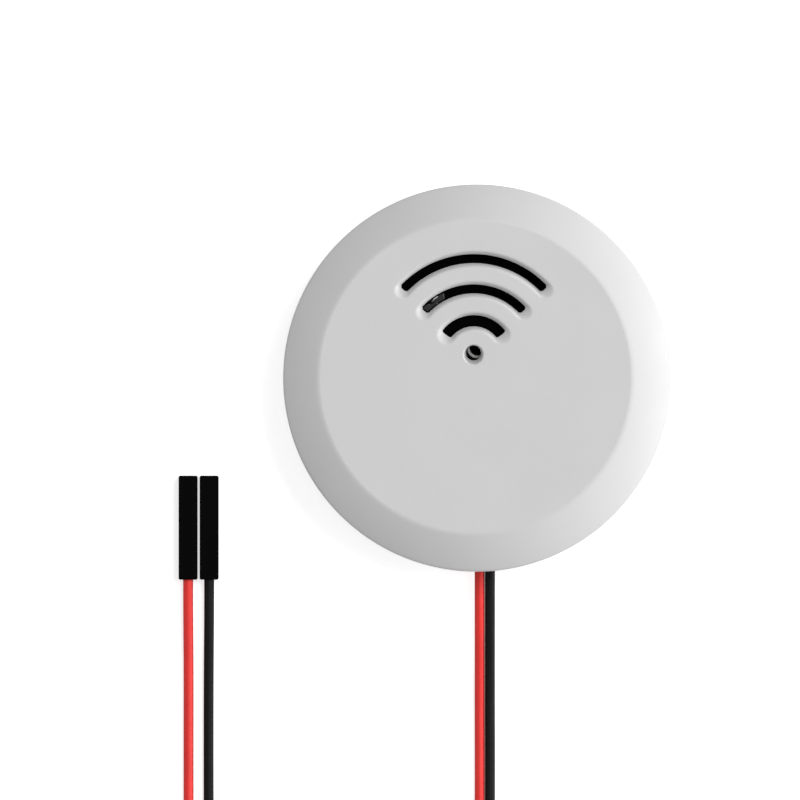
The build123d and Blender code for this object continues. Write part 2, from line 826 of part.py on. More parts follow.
resistor_field_centre = (-9.4, -7.2)
resistor_size = (1.6, 0.8, 0.45)
resistor_pitch = (2.8, 2.2)
with BuildPart() as chip_resistors:
    with BuildSketch(Plane.XY.offset(board_top)):
        with Locations(resistor_field_centre):
            with GridLocations(resistor_pitch[0], resistor_pitch[1], 3, 2):
                Rectangle(resistor_size[0], resistor_size[1])
    extrude(amount=resistor_size[2])
chip_resistors.part.label = "chip_resistors"
export_step(chip_resistors.part, "parts/chip_resistors.step")

capacitor_field_centre = (-8.6, -13.4)
capacitor_size = (2.0, 1.25, 0.9)
capacitor_pitch = (3.4, 2.6)
with BuildPart() as chip_capacitors:
    with BuildSketch(Plane.XY.offset(board_top)):
        with Locations(capacitor_field_centre):
            with GridLocations(capacitor_pitch[0], capacitor_pitch[1], 2, 2):
                Rectangle(capacitor_size[0], capacitor_size[1])
    extrude(amount=capacitor_size[2])
chip_capacitors.part.label = "chip_capacitors"
export_step(chip_capacitors.part, "parts/chip_capacitors.step")

solder_radius = 0.6
solder_height = 0.5
solder_tip_radius = 0.25
with BuildPart() as solder_joints:
    for pad_x in lead_x.values():
        with Locations((pad_x, lead_pad_y, board_top + solder_height / 2)):
            Cone(solder_radius, solder_tip_radius, solder_height)
    for pad_x, pad_y in pin_points:
        with Locations((pad_x, pad_y, board_underside - solder_height / 2)):
            Cone(solder_tip_radius, solder_radius, solder_height)
solder_joints.part.label = "solder_joints"
export_step(solder_joints.part, "parts/solder_joints.step")


# Lead grommet: a rubber block in the notch, held by its flange inside the spigot
grommet_corner_x = lead_exit_x + grommet_flange_width / 2
spigot_inside_y = -math.sqrt((spigot_radius - spigot_wall) ** 2 - grommet_corner_x**2)
grommet_flange_front = spigot_inside_y + grommet_clearance
with BuildPart() as lead_grommet:
    with BuildSketch(Plane.XY.offset(flange_thickness)):
        with BuildLine():
            block_left = lead_exit_x - grommet_width / 2
            block_right = lead_exit_x + grommet_width / 2
            Polyline(
                (block_left, lead_exit_y),
                (block_right, lead_exit_y),
                (block_right, grommet_flange_front),
                (block_left, grommet_flange_front),
                close=True,
            )
        make_face()
    extrude(amount=grommet_height)
    with BuildSketch(Plane.XY.offset(flange_thickness)):
        flange_middle = grommet_flange_front + grommet_flange_thickness / 2
        with Locations((lead_exit_x, flange_middle)):
            Rectangle(grommet_flange_width, grommet_flange_thickness)
    extrude(amount=grommet_flange_height)
    with BuildSketch(Plane.XZ.offset(-lead_exit_y)):
        with Locations((lead_exit_x, lead_exit_height)):
            SlotCenterToCenter(lead_pitch, lead_diameter + 2 * thread_clearance)
    grommet_depth = grommet_flange_front + grommet_flange_thickness - lead_exit_y
    extrude(amount=-grommet_depth, mode=Mode.SUBTRACT)
lead_grommet.part.label = "lead_grommet"
export_step(lead_grommet.part, "parts/lead_grommet.step")


# Each lead starts at its own radius and turns back after its own number of turns
coil_start_offset = {"red": -coil_pitch / 4, "black": coil_pitch / 4}
coil_turn_back = {"red": 2.0, "black": 2.5}


def coil_radius(colour, turn):
    """Radius of a lead's coil after a number of turns, in and then out again."""
    inward = min(turn, coil_turn_back[colour])
    outward = max(turn - coil_turn_back[colour], 0)
    start = coil_outer_radius + coil_start_offset[colour]
    return start - coil_pitch * (inward - outward)


def coil_height(colour, turn):
    """Height of a lead's coil: it climbs in the half turn round its turn-back."""
    climbed = min(max((turn - coil_turn_back[colour] + 0.25) / 0.5, 0), 1)
    return coil_low_z + coil_layer_step * climbed**2 * (3 - 2 * climbed)


def coil_point(colour, turn):
    """Point on a lead's coil, which winds clockwise seen from above."""
    angle = 2 * math.pi * turn
    radius = coil_radius(colour, turn)
    return Vector(
        coil_centre_x + radius * math.cos(angle),
        coil_centre_y - radius * math.sin(angle),
        coil_height(colour, turn),
    )


def coil_tangent(colour, turn):
    """Direction of a lead's coil, straight along Y at its two ends."""
    if turn == 0:
        return Vector(0, -1, 0)
    if turn == coil_turns:
        return Vector(0, 1, 0)
    step = 0.01
    return (coil_point(colour, turn + step) - coil_point(colour, turn - step)).normalized()


def coil_mouth(colour, turn):
    """Where one end of a lead's coil meets its free stretch."""
    last = coil_point(colour, turn)
    return (last.X, coil_end_y, last.Z)


def biarc(start, start_direction, end, end_direction):
    """Two arcs that join two points and keep both directions."""
    chord = end - start
    along = chord.dot(start_direction + end_direction)
    square = 2 * (start_direction.dot(end_direction) - 1)
    reach = (2 * along - math.sqrt(4 * along**2 - 4 * square * chord.dot(chord))) / (
        2 * square
    )
    first_corner = start + start_direction * reach
    second_corner = end - end_direction * reach
    joint = (first_corner + second_corner) / 2
    joint_direction = (second_corner - first_corner).normalized()
    TangentArc(start, joint, tangent=start_direction)
    TangentArc(joint, end, tangent=joint_direction)


def least_self_gap(line, samples):
    """Least gap between parts of a tube that are over half a turn apart."""
    points = [line @ (index / samples) for index in range(samples + 1)]
    spacing = line.length / samples
    apart = int(math.pi * (coil_outer_radius - coil_pitch * coil_turns / 2) / spacing)
    nearest = min(
        (points[later] - points[first]).length
        for first in range(samples + 1)
        for later in range(first + apart, samples + 1)
    )
    return nearest - lead_diameter


# Routes of the free leads, chosen by hand: out of the housing to the coil, and back
start_routes = {
    "red": [
        (lead_x["red"], lead_exit_y, lead_exit_height),
        (lead_x["red"], lead_first_y, lead_exit_height),
        (0.41, -41.2, 0.68),
        (0.43, -52.4, 0.68),
        (0.41, -60.8, 0.68),
        (-1.55, -70.6, 1.03),
        coil_mouth("red", 0),
    ],
    "black": [
        (lead_x["black"], lead_exit_y, lead_exit_height),
        (lead_x["black"], lead_first_y, lead_exit_height),
        (1.79, -41.2, 0.68),
        (1.81, -52.4, 0.68),
        (1.79, -61.1, 0.68),
        (-0.15, -70.6, 1.03),
        coil_mouth("black", 0),
    ],
}
end_routes = {
    "red": [
        coil_mouth("red", coil_turns),
        (-35.95, -71.4, 2.83),
        (-38.78, -61.6, 0.68),
        (-38.80, -52.0, 0.68),
        (-38.78, -39.2, 0.68),
        (-38.85, -31.4, 1.27),
        (socket_x["red"], lead_end_y, socket_z),
    ],
    "black": [
        coil_mouth("black", coil_turns),
        (-34.55, -71.4, 2.83),
        (-36.07, -61.6, 0.68),
        (-36.10, -52.0, 0.68),
        (-36.08, -39.2, 0.68),
        (-36.01, -31.4, 1.27),
        (socket_x["black"], lead_end_y, socket_z),
    ],
}

quarter_turns = [step / 4 for step in range(int(coil_turns * 4) + 1)]
for colour in ("red", "black"):
    # Inner lead: through the grommet and up to its pad
    print(colour, "lead inside")
    inner_route = [
        (lead_x[colour], lead_exit_y, lead_exit_height),
        (lead_x[colour], lead_pad_y, lead_exit_height),
        (lead_x[colour], lead_pad_y, board_underside),
    ]
    inner_lead = lead_tube(inner_route, [lead_inner_radius])
    inner_lead.label = f"{colour}_lead_inner"
    export_step(inner_lead, f"parts/{colour}_lead_inner.step")

    # Free lead from the housing to the coil, and from the coil to its socket
    for stretch, route in (("start", start_routes[colour]), ("end", end_routes[colour])):
        radii = corner_radii(route)
        print(colour, stretch, "radii", [round(radius, 1) for radius in radii])
        free_lead = lead_tube(route, radii)
        free_lead.label = f"{colour}_lead_{stretch}"
        export_step(free_lead, f"parts/{colour}_lead_{stretch}.step")

    # The coil: one unbroken tube of biarcs, straight for one diameter at both ends
    with BuildPart() as lead_coil:
        with BuildLine() as coil_line:
            coil_first = coil_point(colour, 0)
            coil_last = coil_point(colour, coil_turns)
            Line(coil_mouth(colour, 0), coil_first)
            for turn, next_turn in zip(quarter_turns, quarter_turns[1:]):
                biarc(
                    coil_point(colour, turn),
                    coil_tangent(colour, turn),
                    coil_point(colour, next_turn),
                    coil_tangent(colour, next_turn),
                )
            Line(coil_last, coil_mouth(colour, coil_turns))
        coil_wire = coil_line.wires()[0]
        with BuildSketch(Plane(origin=coil_wire @ 0, z_dir=coil_wire % 0)):
            Circle(lead_radius)
        sweep(path=coil_wire)
    lead_coil.part.label = f"{colour}_lead_coil"
    export_step(lead_coil.part, f"parts/{colour}_lead_coil.step")
    coil_section = math.pi * lead_radius**2
    print(f"{colour} coil length {coil_wire.length:.2f}", end=" ")
    print(f"volume ratio {lead_coil.part.volume / (coil_section * coil_wire.length):.5f}")
    print(f"{colour} coil least gap to itself {least_self_gap(coil_wire, 1000):.3f}")

    # Socket housing: a square tube with a pin mouth in front and a latch window below
    socket_centre_y = socket_front_y - socket_length / 2
    with BuildPart() as socket_housing:
        with BuildSketch(Plane.XZ.offset(-socket_front_y)):
            with Locations((socket_x[colour], socket_z)):
                Rectangle(socket_width, socket_width)
        extrude(amount=socket_length)
        chamfer(socket_housing.edges(), socket_chamfer)
        with BuildSketch(Plane.XZ.offset(-socket_front_y)):
            with Locations((socket_x[colour], socket_z)):
                Rectangle(socket_mouth, socket_mouth)
        extrude(amount=socket_length, mode=Mode.SUBTRACT)
        with BuildSketch(Plane.XZ.offset(-socket_front_y + socket_mouth_depth)):
            with Locations((socket_x[colour], socket_z)):
                Rectangle(socket_cavity, socket_cavity)
        extrude(amount=socket_length, mode=Mode.SUBTRACT)
        window_y = socket_front_y - socket_mouth_depth - contact_length
        with BuildSketch():
            with Locations((socket_x[colour], window_y)):
                Rectangle(socket_window_width, socket_window_length)
        extrude(amount=socket_z, mode=Mode.SUBTRACT)
    socket_housing.part.label = f"{colour}_socket_housing"
    export_step(socket_housing.part, f"parts/{colour}_socket_housing.step")

    # Socket contact: a box for the pin and a crimp on the lead
    crimp_front_y = contact_front_y - contact_length
    with BuildPart() as socket_contact:
        with BuildSketch(Plane.XZ.offset(-contact_front_y)):
            with Locations((socket_x[colour], socket_z)):
                Rectangle(contact_width, contact_width)
        extrude(amount=contact_length)
        chamfer(
            socket_contact.edges().filter_by(Axis.Y).group_by(Axis.Z)[-1],
            contact_strip,
        )
        with BuildSketch(Plane.XZ.offset(-contact_front_y)):
            with Locations((socket_x[colour], socket_z)):
                Rectangle(contact_bore, contact_bore)
        extrude(amount=contact_length, mode=Mode.SUBTRACT)
        with BuildSketch(Plane.XZ.offset(-crimp_front_y)):
            with Locations((socket_x[colour], socket_z)):
                Rectangle(crimp_width, crimp_width)
        extrude(amount=crimp_front_y - lead_end_y)
    socket_contact.part.label = f"{colour}_socket_contact"
    export_step(socket_contact.part, f"parts/{colour}_socket_contact.step")


# Coil ties: flat bands round both leads' turns, above and below the coil's centre
with BuildPart() as coil_ties:
    for first_turn, side in ((0.75, 1), (0.25, -1)):
        tie_radii = [
            coil_radius(colour, first_turn + whole)
            for colour in ("red", "black")
            for whole in range(int(coil_turns))
            if first_turn + whole <= coil_turns
        ]
        band_low = min(tie_radii) - lead_radius - tie_slack
        band_high = max(tie_radii) + lead_radius + tie_slack
        band_z = (coil_low_z + coil_high_z) / 2
        band_height = coil_layer_step + lead_diameter
        band_y = coil_centre_y + side * (band_low + band_high) / 2
        with BuildSketch(Plane.YZ.offset(coil_centre_x)):
            with Locations((band_y, band_z)):
                Rectangle(
                    band_high - band_low + 2 * tie_thickness,
                    band_height + 2 * tie_thickness,
                )
                Rectangle(band_high - band_low, band_height, mode=Mode.SUBTRACT)
        extrude(amount=tie_width / 2, both=True)
coil_ties.part.label = "coil_ties"
export_step(coil_ties.part, "parts/coil_ties.step")
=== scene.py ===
"""Looks of a round battery water level alarm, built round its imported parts.

The housing lies on its back, +Z leaves its face and the sensing leads leave towards -Y.
Sizes are in metres; MM turns a size in millimetres into metres.
"""

import logging
import math
from dataclasses import dataclass, replace
from enum import Enum
from typing import ClassVar, Iterable, Optional, Sequence, Union

import bmesh
import bpy
from mathutils import Matrix, Vector


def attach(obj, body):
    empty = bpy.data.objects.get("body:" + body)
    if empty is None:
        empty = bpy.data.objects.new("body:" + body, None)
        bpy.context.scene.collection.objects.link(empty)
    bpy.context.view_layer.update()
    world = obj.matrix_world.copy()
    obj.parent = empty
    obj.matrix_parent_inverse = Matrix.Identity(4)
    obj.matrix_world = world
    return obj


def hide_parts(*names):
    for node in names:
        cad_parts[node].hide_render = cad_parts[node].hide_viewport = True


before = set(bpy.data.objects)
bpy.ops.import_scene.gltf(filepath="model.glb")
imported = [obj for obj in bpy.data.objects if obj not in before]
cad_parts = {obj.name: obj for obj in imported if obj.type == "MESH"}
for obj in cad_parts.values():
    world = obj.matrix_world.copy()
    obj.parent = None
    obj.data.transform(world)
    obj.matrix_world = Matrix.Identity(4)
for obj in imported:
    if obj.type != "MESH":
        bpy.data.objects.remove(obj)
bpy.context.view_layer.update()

MM = 0.001
WELD = 1e-7  # points closer than this are one
NEAR = 1e-6  # a point that is closer than this to a face or side lies on it
REACH = 1 * MM  # how far a cutter reaches past what it cuts
AXIS_GAP = 0.02 * MM  # how near to its axis a turned solid's section starts
UP = Vector((0, 0, 1))
MAIN_BODY = "main_unit"
NUMBER = "NodeSocketFloat"
log = logging.getLogger("water_level_alarm")

Colour = tuple[float, float, float]
Point = tuple[float, float, float]
Socket = bpy.types.NodeSocket
Fed = Union[float, Sequence[float], Socket]
Feeds = dict[Union[str, int], Fed]
Shape = bmesh.types.BMesh
Corners = list[bmesh.types.BMVert]
Edges = Iterable[bmesh.types.BMEdge]
Piece = bpy.types.Object


class LeadColour(Enum):
    """The two sensing leads."""

    RED = "red"
    BLACK = "black"


class Wiring:
    """Adds nodes to one node tree and joins their sockets.

    Attributes:
        tree: the node tree.
        vector: where its patterns are read, in millimetres.
    """

    vector: Optional[Socket] = None

    def __init__(self, tree: bpy.types.NodeTree) -> None:
        """Empties a tree and keeps it."""
        tree.nodes.clear()
        self.tree = tree

    def feed(self, inputs: bpy.types.NodeInputs, fed: Feeds) -> None:
        """Gives inputs numbers, colours or other nodes' outputs.

        Args:
            inputs: a node's inputs.
            fed: what they take, each by its name or number.
        """
        for key, value in fed.items():
            if isinstance(value, Socket):
                self.tree.links.new(value, inputs[key])
            else:
                inputs[key].default_value = value

    def add(self, kind: str, fed: Feeds, **settings: object) -> bpy.types.NodeOutputs:
        """Adds one node and feeds it.

        Args:
            kind: the node's type name.
            fed: what its inputs take, each by its name or number.
            settings: properties to set on it.

        Returns:
            Its outputs.
        """
        node = self.tree.nodes.new(kind)
        for name, value in settings.items():
            setattr(node, name, value)
        self.feed(node.inputs, fed)
        return node.outputs

    def math(self, operation: str, *values: Fed, clamp: bool = False) -> Socket:
        """The result of a Math node, kept from 0 to 1 if clamp is set."""
        fed = dict(enumerate(values))
        return self.add("ShaderNodeMath", fed, operation=operation, use_clamp=clamp)[0]

    def spread(self, value: Fed, *ranges: Fed) -> Socket:
        """A value taken from one range to another, where it stays: old low, old high, low, high."""
        return self.add("ShaderNodeMapRange", dict(enumerate((value, *ranges))), clamp=True)["Result"]

    def blend(self, share: Fed, first: Fed, second: Fed) -> Socket:
        """A mix of two colours, where share is how much of the second shows."""
        return self.add("ShaderNodeMix", {0: share, 6: first, 7: second}, data_type="RGBA")[2]

    def noise(
        self, scale: Fed, detail: float, roughness: float = 0.5, vector: Optional[Socket] = None
    ) -> Socket:
        """Adds a Noise Texture.

        Args:
            scale: waves per unit of the vector.
            detail: how many finer layers it has.
            roughness: how strong the finer layers are.
            vector: where it is read, if not where the other patterns are.

        Returns:
            Its value, round 0.5.
        """
        place = self.vector if vector is None else vector
        fed = {"Vector": place, "Scale": scale, "Detail": detail, "Roughness": roughness}
        return self.add("ShaderNodeTexNoise", fed)["Fac"]

    def group(self, kind: type["SurfaceGroup"], **values: float) -> bpy.types.NodeOutputs:
        """Places a node group, which is built where it is first used.

        Args:
            kind: which group.
            values: the inputs to set.

        Returns:
            The group's outputs.
        """
        tree = bpy.data.node_groups.get(kind.name) or kind().tree
        return self.add("ShaderNodeGroup", {"Vector": self.vector, **values}, node_tree=tree)


class SurfaceGroup(Wiring):
    """A shader node group with named inputs and outputs, built once and used by many finishes.

    Attributes:
        name: the group's name.
        inputs: its number inputs, each with its usual value.
        outputs: its outputs, each with its socket type.
    """

    name: ClassVar[str]
    inputs: ClassVar[dict[str, float]]
    outputs: ClassVar[dict[str, str]] = {"Height": NUMBER}

    def __init__(self) -> None:
        """Makes the group with its sockets and joins its nodes."""
        group = bpy.data.node_groups.new(self.name, "ShaderNodeTree")
        sockets = group.interface
        sockets.new_socket("Vector", in_out="INPUT", socket_type="NodeSocketVector")
        for name, value in self.inputs.items():
            sockets.new_socket(name, in_out="INPUT", socket_type=NUMBER).default_value = value
        for name, kind in self.outputs.items():
            sockets.new_socket(name, in_out="OUTPUT", socket_type=kind)
        super().__init__(group)
        self.given = self.add("NodeGroupInput", {})
        self.vector = self.given["Vector"]
        self.feed(self.tree.nodes.new("NodeGroupOutput").inputs, self.results())

    def results(self) -> Feeds:
        """What the group puts out, by the names of its outputs."""
        raise NotImplementedError

    def per(self, name: str) -> Socket:
        """One divided by the input of that name."""
        return self.math("DIVIDE", 1.0, self.given[name])


class MouldGrain(SurfaceGroup):
    """The fine spark-eroded texture that a mould leaves on plastic or rubber."""

    name = "mould_grain"
    inputs = {"Size": 0.15}

    def results(self) -> Feeds:
        """Lays two noises over each other, one of them three times finer.

        Returns:
            The height of the texture.
        """
        scale = self.per("Size")
        coarse = self.noise(scale, 1.0)
        fine = self.noise(self.math("MULTIPLY", scale, 3.0), 1.0)
        return {"Height": self.math("MULTIPLY_ADD", fine, 0.4, self.math("MULTIPLY", coarse, 0.6))}


class SoftClouds(SurfaceGroup):
    """Slow uneven patches, as of tone in a moulding or of handling on a finish."""

    name = "soft_clouds"
    inputs = {"Size": 8.0, "Low": 0.0, "High": 1.0}
    outputs = {"Value": NUMBER}

    def results(self) -> Feeds:
        """One slow noise, stretched to the range that is asked for."""
        noise = self.noise(self.per("Size"), 3.0, 0.55)
        return {"Value": self.spread(noise, 0.3, 0.7, self.given["Low"], self.given["High"])}


class Specks(SurfaceGroup):
    """Scattered specks, such as dust in a moulding or flecks of resin."""

    name = "specks"
    inputs = {"Spacing": 4.0, "Size": 0.1, "Share": 0.3}
    outputs = {"Mask": NUMBER}

    def results(self) -> Feeds:
        """Marks the middles of some cells of a Voronoi Texture.

        Returns:
            The mask of the specks.
        """
        size, spacing = self.given["Size"], self.given["Spacing"]
        place = {"Vector": self.vector, "Scale": self.per("Spacing")}
        cells = self.add("ShaderNodeTexVoronoi", place, feature="F1")
        reach = self.math("MULTIPLY", cells["Distance"], spacing)
        dot = self.spread(reach, self.math("MULTIPLY", size, 0.5), size, 1.0, 0.0)
        chance = self.add("ShaderNodeSeparateColor", {0: cells["Color"]})[0]
        chosen = self.math("LESS_THAN", chance, self.given["Share"])
        return {"Mask": self.math("MULTIPLY", dot, chosen)}


class SoftEdges(SurfaceGroup):
    """Edges that moulding softens and handling rubs, where a rounded normal leaves the flat one."""

    name = "soft_edges"
    inputs = {"Radius": 0.25 * MM, "Amount": 1.0}
    outputs = {"Mask": NUMBER, "Normal": "NodeSocketVector"}

    def results(self) -> Feeds:
        """Compares the normals and breaks the mask up with noise.

        Returns:
            The mask of the edges and the rounded normal.
        """
        rounded = self.add("ShaderNodeBevel", {"Radius": self.given["Radius"]}, samples=4)["Normal"]
        flat = self.add("ShaderNodeNewGeometry", {})["Normal"]
        normals = {0: rounded, 1: flat}
        likeness = self.add("ShaderNodeVectorMath", normals, operation="DOT_PRODUCT")["Value"]
        edge = self.spread(likeness, 0.8, 0.995, 1.0, 0.0)
        broken = self.spread(self.noise(1.5, 4.0, 0.7), 0.35, 0.65, 0.2, 1.0)
        worn = self.math("MULTIPLY", broken, self.given["Amount"])
        return {"Mask": self.math("MULTIPLY", edge, worn, clamp=True), "Normal": rounded}


class Hairlines(SurfaceGroup):
    """Long fine lines across a surface, as drawing or rolling leaves in metal and insulation."""

    name = "hairlines"
    inputs = {"Width": 0.05, "Length": 3.0}

    def results(self) -> Feeds:
        """Reads a noise on coordinates that are squeezed along Y.

        Returns:
            The height of the lines.
        """
        across = self.per("Width")
        squeeze = self.add("ShaderNodeCombineXYZ", {0: across, 1: self.per("Length"), 2: across})[0]
        factors = {0: self.vector, 1: squeeze}
        squeezed = self.add("ShaderNodeVectorMath", factors, operation="MULTIPLY")[0]
        return {"Height": self.noise(1.0, 3.0, 0.6, squeezed)}


class Skin(Wiring):
    """The wiring of one material.

    Attributes:
        material: the material.
        shader: the inputs of its shader.
    """

    def __init__(self, name: str, colour: Colour, roughness: float, specular: float) -> None:
        """Makes a material with a plain shader.

        Args:
            name: the material's name.
            colour: linear base colour.
            roughness: its roughness.
            specular: strength of its plain reflection.
        """
        self.material = bpy.data.materials.new(name)
        self.material.use_nodes = True
        super().__init__(self.material.node_tree)
        shader = self.tree.nodes.new("ShaderNodeBsdfPrincipled")
        self.add("ShaderNodeOutputMaterial", {"Surface": shader.outputs[0]})
        self.shader = shader.inputs
        plain = {"Base Color": (*colour, 1.0), "Roughness": roughness, "Specular IOR Level": specular}
        self.feed(self.shader, plain)

    def measure(self) -> None:
        """Reads the patterns at the object's own coordinates, in millimetres."""
        coordinates = self.add("ShaderNodeTexCoord", {})["Object"]
        place = {"Vector": coordinates, "Scale": (1 / MM, 1 / MM, 1 / MM)}
        self.vector = self.add("ShaderNodeMapping", place)[0]

    def wear(self, colour: Fed, roughness: Fed, height: Fed, depth: float, **normal: Fed) -> None:
        """Gives the surface its colour, gloss and relief.

        Args:
            colour: its base colour.
            roughness: its roughness.
            height: the relief's pattern, from 0 to 1.
            depth: how high the relief stands, in metres.
            normal: as Normal, what the relief is laid on in place of the mesh's own normal.
        """
        relief = {"Distance": depth, "Strength": 1.0, "Height": height, **normal}
        bump = self.add("ShaderNodeBump", relief)
        self.feed(self.shader, {"Base Color": colour, "Roughness": roughness, "Normal": bump[0]})


@dataclass(frozen=True)
class Finish:
    """What all finishes share.

    Attributes:
        name: the material's name.
        slot: the record's material slot; not used.
        colour: linear base colour.
        roughness: mean roughness.
        specular: strength of the plain reflection, 0.5 for common plastics.
    """

    name: str
    slot: str
    colour: Colour
    roughness: float = 0.45
    specular: float = 0.5

    def material(self) -> bpy.types.Material:
        """Finds the material or builds it.

        Returns:
            The material.
        """
        name = f"{self.name}_finish"
        known = bpy.data.materials.get(name)
        if known:
            return known
        skin = Skin(name, self.colour, self.roughness, self.specular)
        skin.material.diffuse_color = self.tone(1)
        skin.measure()
        self.dress(skin)
        return skin.material

    def dress(self, skin: Skin) -> None:
        """Adds the finish's own detail to a material."""
        raise NotImplementedError

    def tone(self, share: float) -> tuple[float, float, float, float]:
        """The base colour made lighter or darker, with its alpha."""
        return (*(min(1.0, channel * share) for channel in self.colour), 1.0)

    def gloss(self, skin: Skin, size: float, lower: float, higher: float) -> Socket:
        """The roughness, wandering that far down and up in soft patches of a size in millimetres."""
        low, high = self.roughness - lower, self.roughness + higher
        return skin.group(SoftClouds, Size=size, Low=low, High=high)["Value"]


@dataclass(frozen=True)
class MouldedPlastic(Finish):
    """Injection-moulded plastic with grain, slow patches, specks and rubbed edges.

    Attributes:
        grain: size of the mould's texture in millimetres.
        depth: height of that texture in metres.
        mottle: share by which the tone wanders.
        speck_tone: how light the specks are beside the base colour.
        rubbed: how light the rubbed edges are beside the base colour.
        softened: how far the edges are rounded, in metres.
    """

    grain: float = 0.16
    depth: float = 4e-6
    mottle: float = 0.015
    speck_tone: float = 0.6
    rubbed: float = 1.06
    softened: float = 0.25 * MM

    def dress(self, skin: Skin) -> None:
        """Mixes the tone, varies the gloss and embosses the grain.

        Args:
            skin: the material's wiring.
        """
        cloud = skin.group(SoftClouds, Size=9.0)["Value"]
        colour = skin.blend(cloud, self.tone(1 - self.mottle), self.tone(1 + self.mottle))
        edges = skin.group(SoftEdges, Radius=self.softened, Amount=0.6)
        colour = skin.blend(edges["Mask"], colour, self.tone(self.rubbed))
        speck = skin.group(Specks, Spacing=3.6, Size=0.07, Share=0.22)["Mask"]
        colour = skin.blend(skin.math("MULTIPLY", speck, 0.7), colour, self.tone(self.speck_tone))
        polished = skin.math("MULTIPLY_ADD", edges["Mask"], -0.08, self.gloss(skin, 4.0, 0.04, 0.05))
        grain = skin.group(MouldGrain, Size=self.grain)["Height"]
        skin.wear(colour, polished, grain, self.depth, Normal=edges["Normal"])


@dataclass(frozen=True)
class SoftRubber(Finish):
    """Moulded rubber: dull, a little dusty and softly pitted.

    Attributes:
        dust: how light the dust is beside the base colour.
    """

    dust: float = 1.5

    def dress(self, skin: Skin) -> None:
        """Lays dust in patches over a pitted skin.

        Args:
            skin: the material's wiring.
        """
        share = skin.math("MULTIPLY", skin.group(SoftClouds, Size=2.2)["Value"], 0.5)
        colour = skin.blend(share, self.tone(1), self.tone(self.dust))
        pits = skin.group(MouldGrain, Size=0.1)["Height"]
        skin.wear(colour, self.gloss(skin, 1.5, 0.06, 0.06), pits, 5e-6)


@dataclass(frozen=True)
class LeadInsulation(Finish):
    """Extruded soft insulation: smooth, with faint lines along it and a little dust.

    Attributes:
        bloom: how light the dusty patches are beside the base colour.
        dust: linear colour of the specks.
    """

    bloom: float = 1.1
    dust: Colour = (0.5, 0.48, 0.46)

    def dress(self, skin: Skin) -> None:
        """Adds faint draw lines, uneven gloss and specks of dust.

        Args:
            skin: the material's wiring.
        """
        cloud = skin.group(SoftClouds, Size=5.0)["Value"]
        colour = skin.blend(cloud, self.tone(0.94), self.tone(self.bloom))
        speck = skin.group(Specks, Spacing=2.4, Size=0.05, Share=0.25)["Mask"]
        colour = skin.blend(skin.math("MULTIPLY", speck, 0.4), colour, (*self.dust, 1.0))
        lines = skin.group(Hairlines, Width=0.14, Length=6.0)["Height"]
        skin.wear(colour, self.gloss(skin, 1.8, 0.05, 0.05), lines, 2e-6)


@dataclass(frozen=True)
class PlatedMetal(Finish):
    """Plated or drawn metal with hairlines, uneven gloss and faint tarnish.

    Attributes:
        tarnish: linear colour of the tarnish.
        tarnished: how much of it shows.
    """

    tarnish: Colour = (0.35, 0.3, 0.24)
    tarnished: float = 0.35

    def dress(self, skin: Skin) -> None:
        """Tints the tarnished patches and scores the hairlines.

        Args:
            skin: the material's wiring.
        """
        skin.feed(skin.shader, {"Metallic": 1.0})
        patch = skin.group(SoftClouds, Size=1.6, High=self.tarnished)["Value"]
        colour = skin.blend(patch, self.tone(1), (*self.tarnish, 1.0))
        lines = skin.group(Hairlines, Width=0.04, Length=2.5)["Height"]
        skin.wear(colour, self.gloss(skin, 0.8, 0.06, 0.1), lines, 3e-6)


@dataclass(frozen=True)
class SolderMask(Finish):
    """A printed board's lacquer over copper tracks.

    Attributes:
        track_tone: how light the lacquer is over copper beside the base colour.
    """

    track_tone: float = 2.0

    def dress(self, skin: Skin) -> None:
        """Runs square tracks under the lacquer and roughens it slightly.

        Args:
            skin: the material's wiring.
        """
        place = {"Scale": 0.45, "Randomness": 0.75, "Vector": skin.vector}
        cells = skin.add("ShaderNodeTexVoronoi", place, feature="DISTANCE_TO_EDGE")
        track = skin.spread(cells["Distance"], 0.06, 0.09, 1.0, 0.0)
        colour = skin.blend(track, self.tone(1), self.tone(self.track_tone))
        relief = skin.math("MULTIPLY_ADD", skin.group(MouldGrain, Size=0.2)["Height"], 0.15, track)
        skin.wear(colour, self.gloss(skin, 1.2, 0.04, 0.08), relief, 2.5e-5)


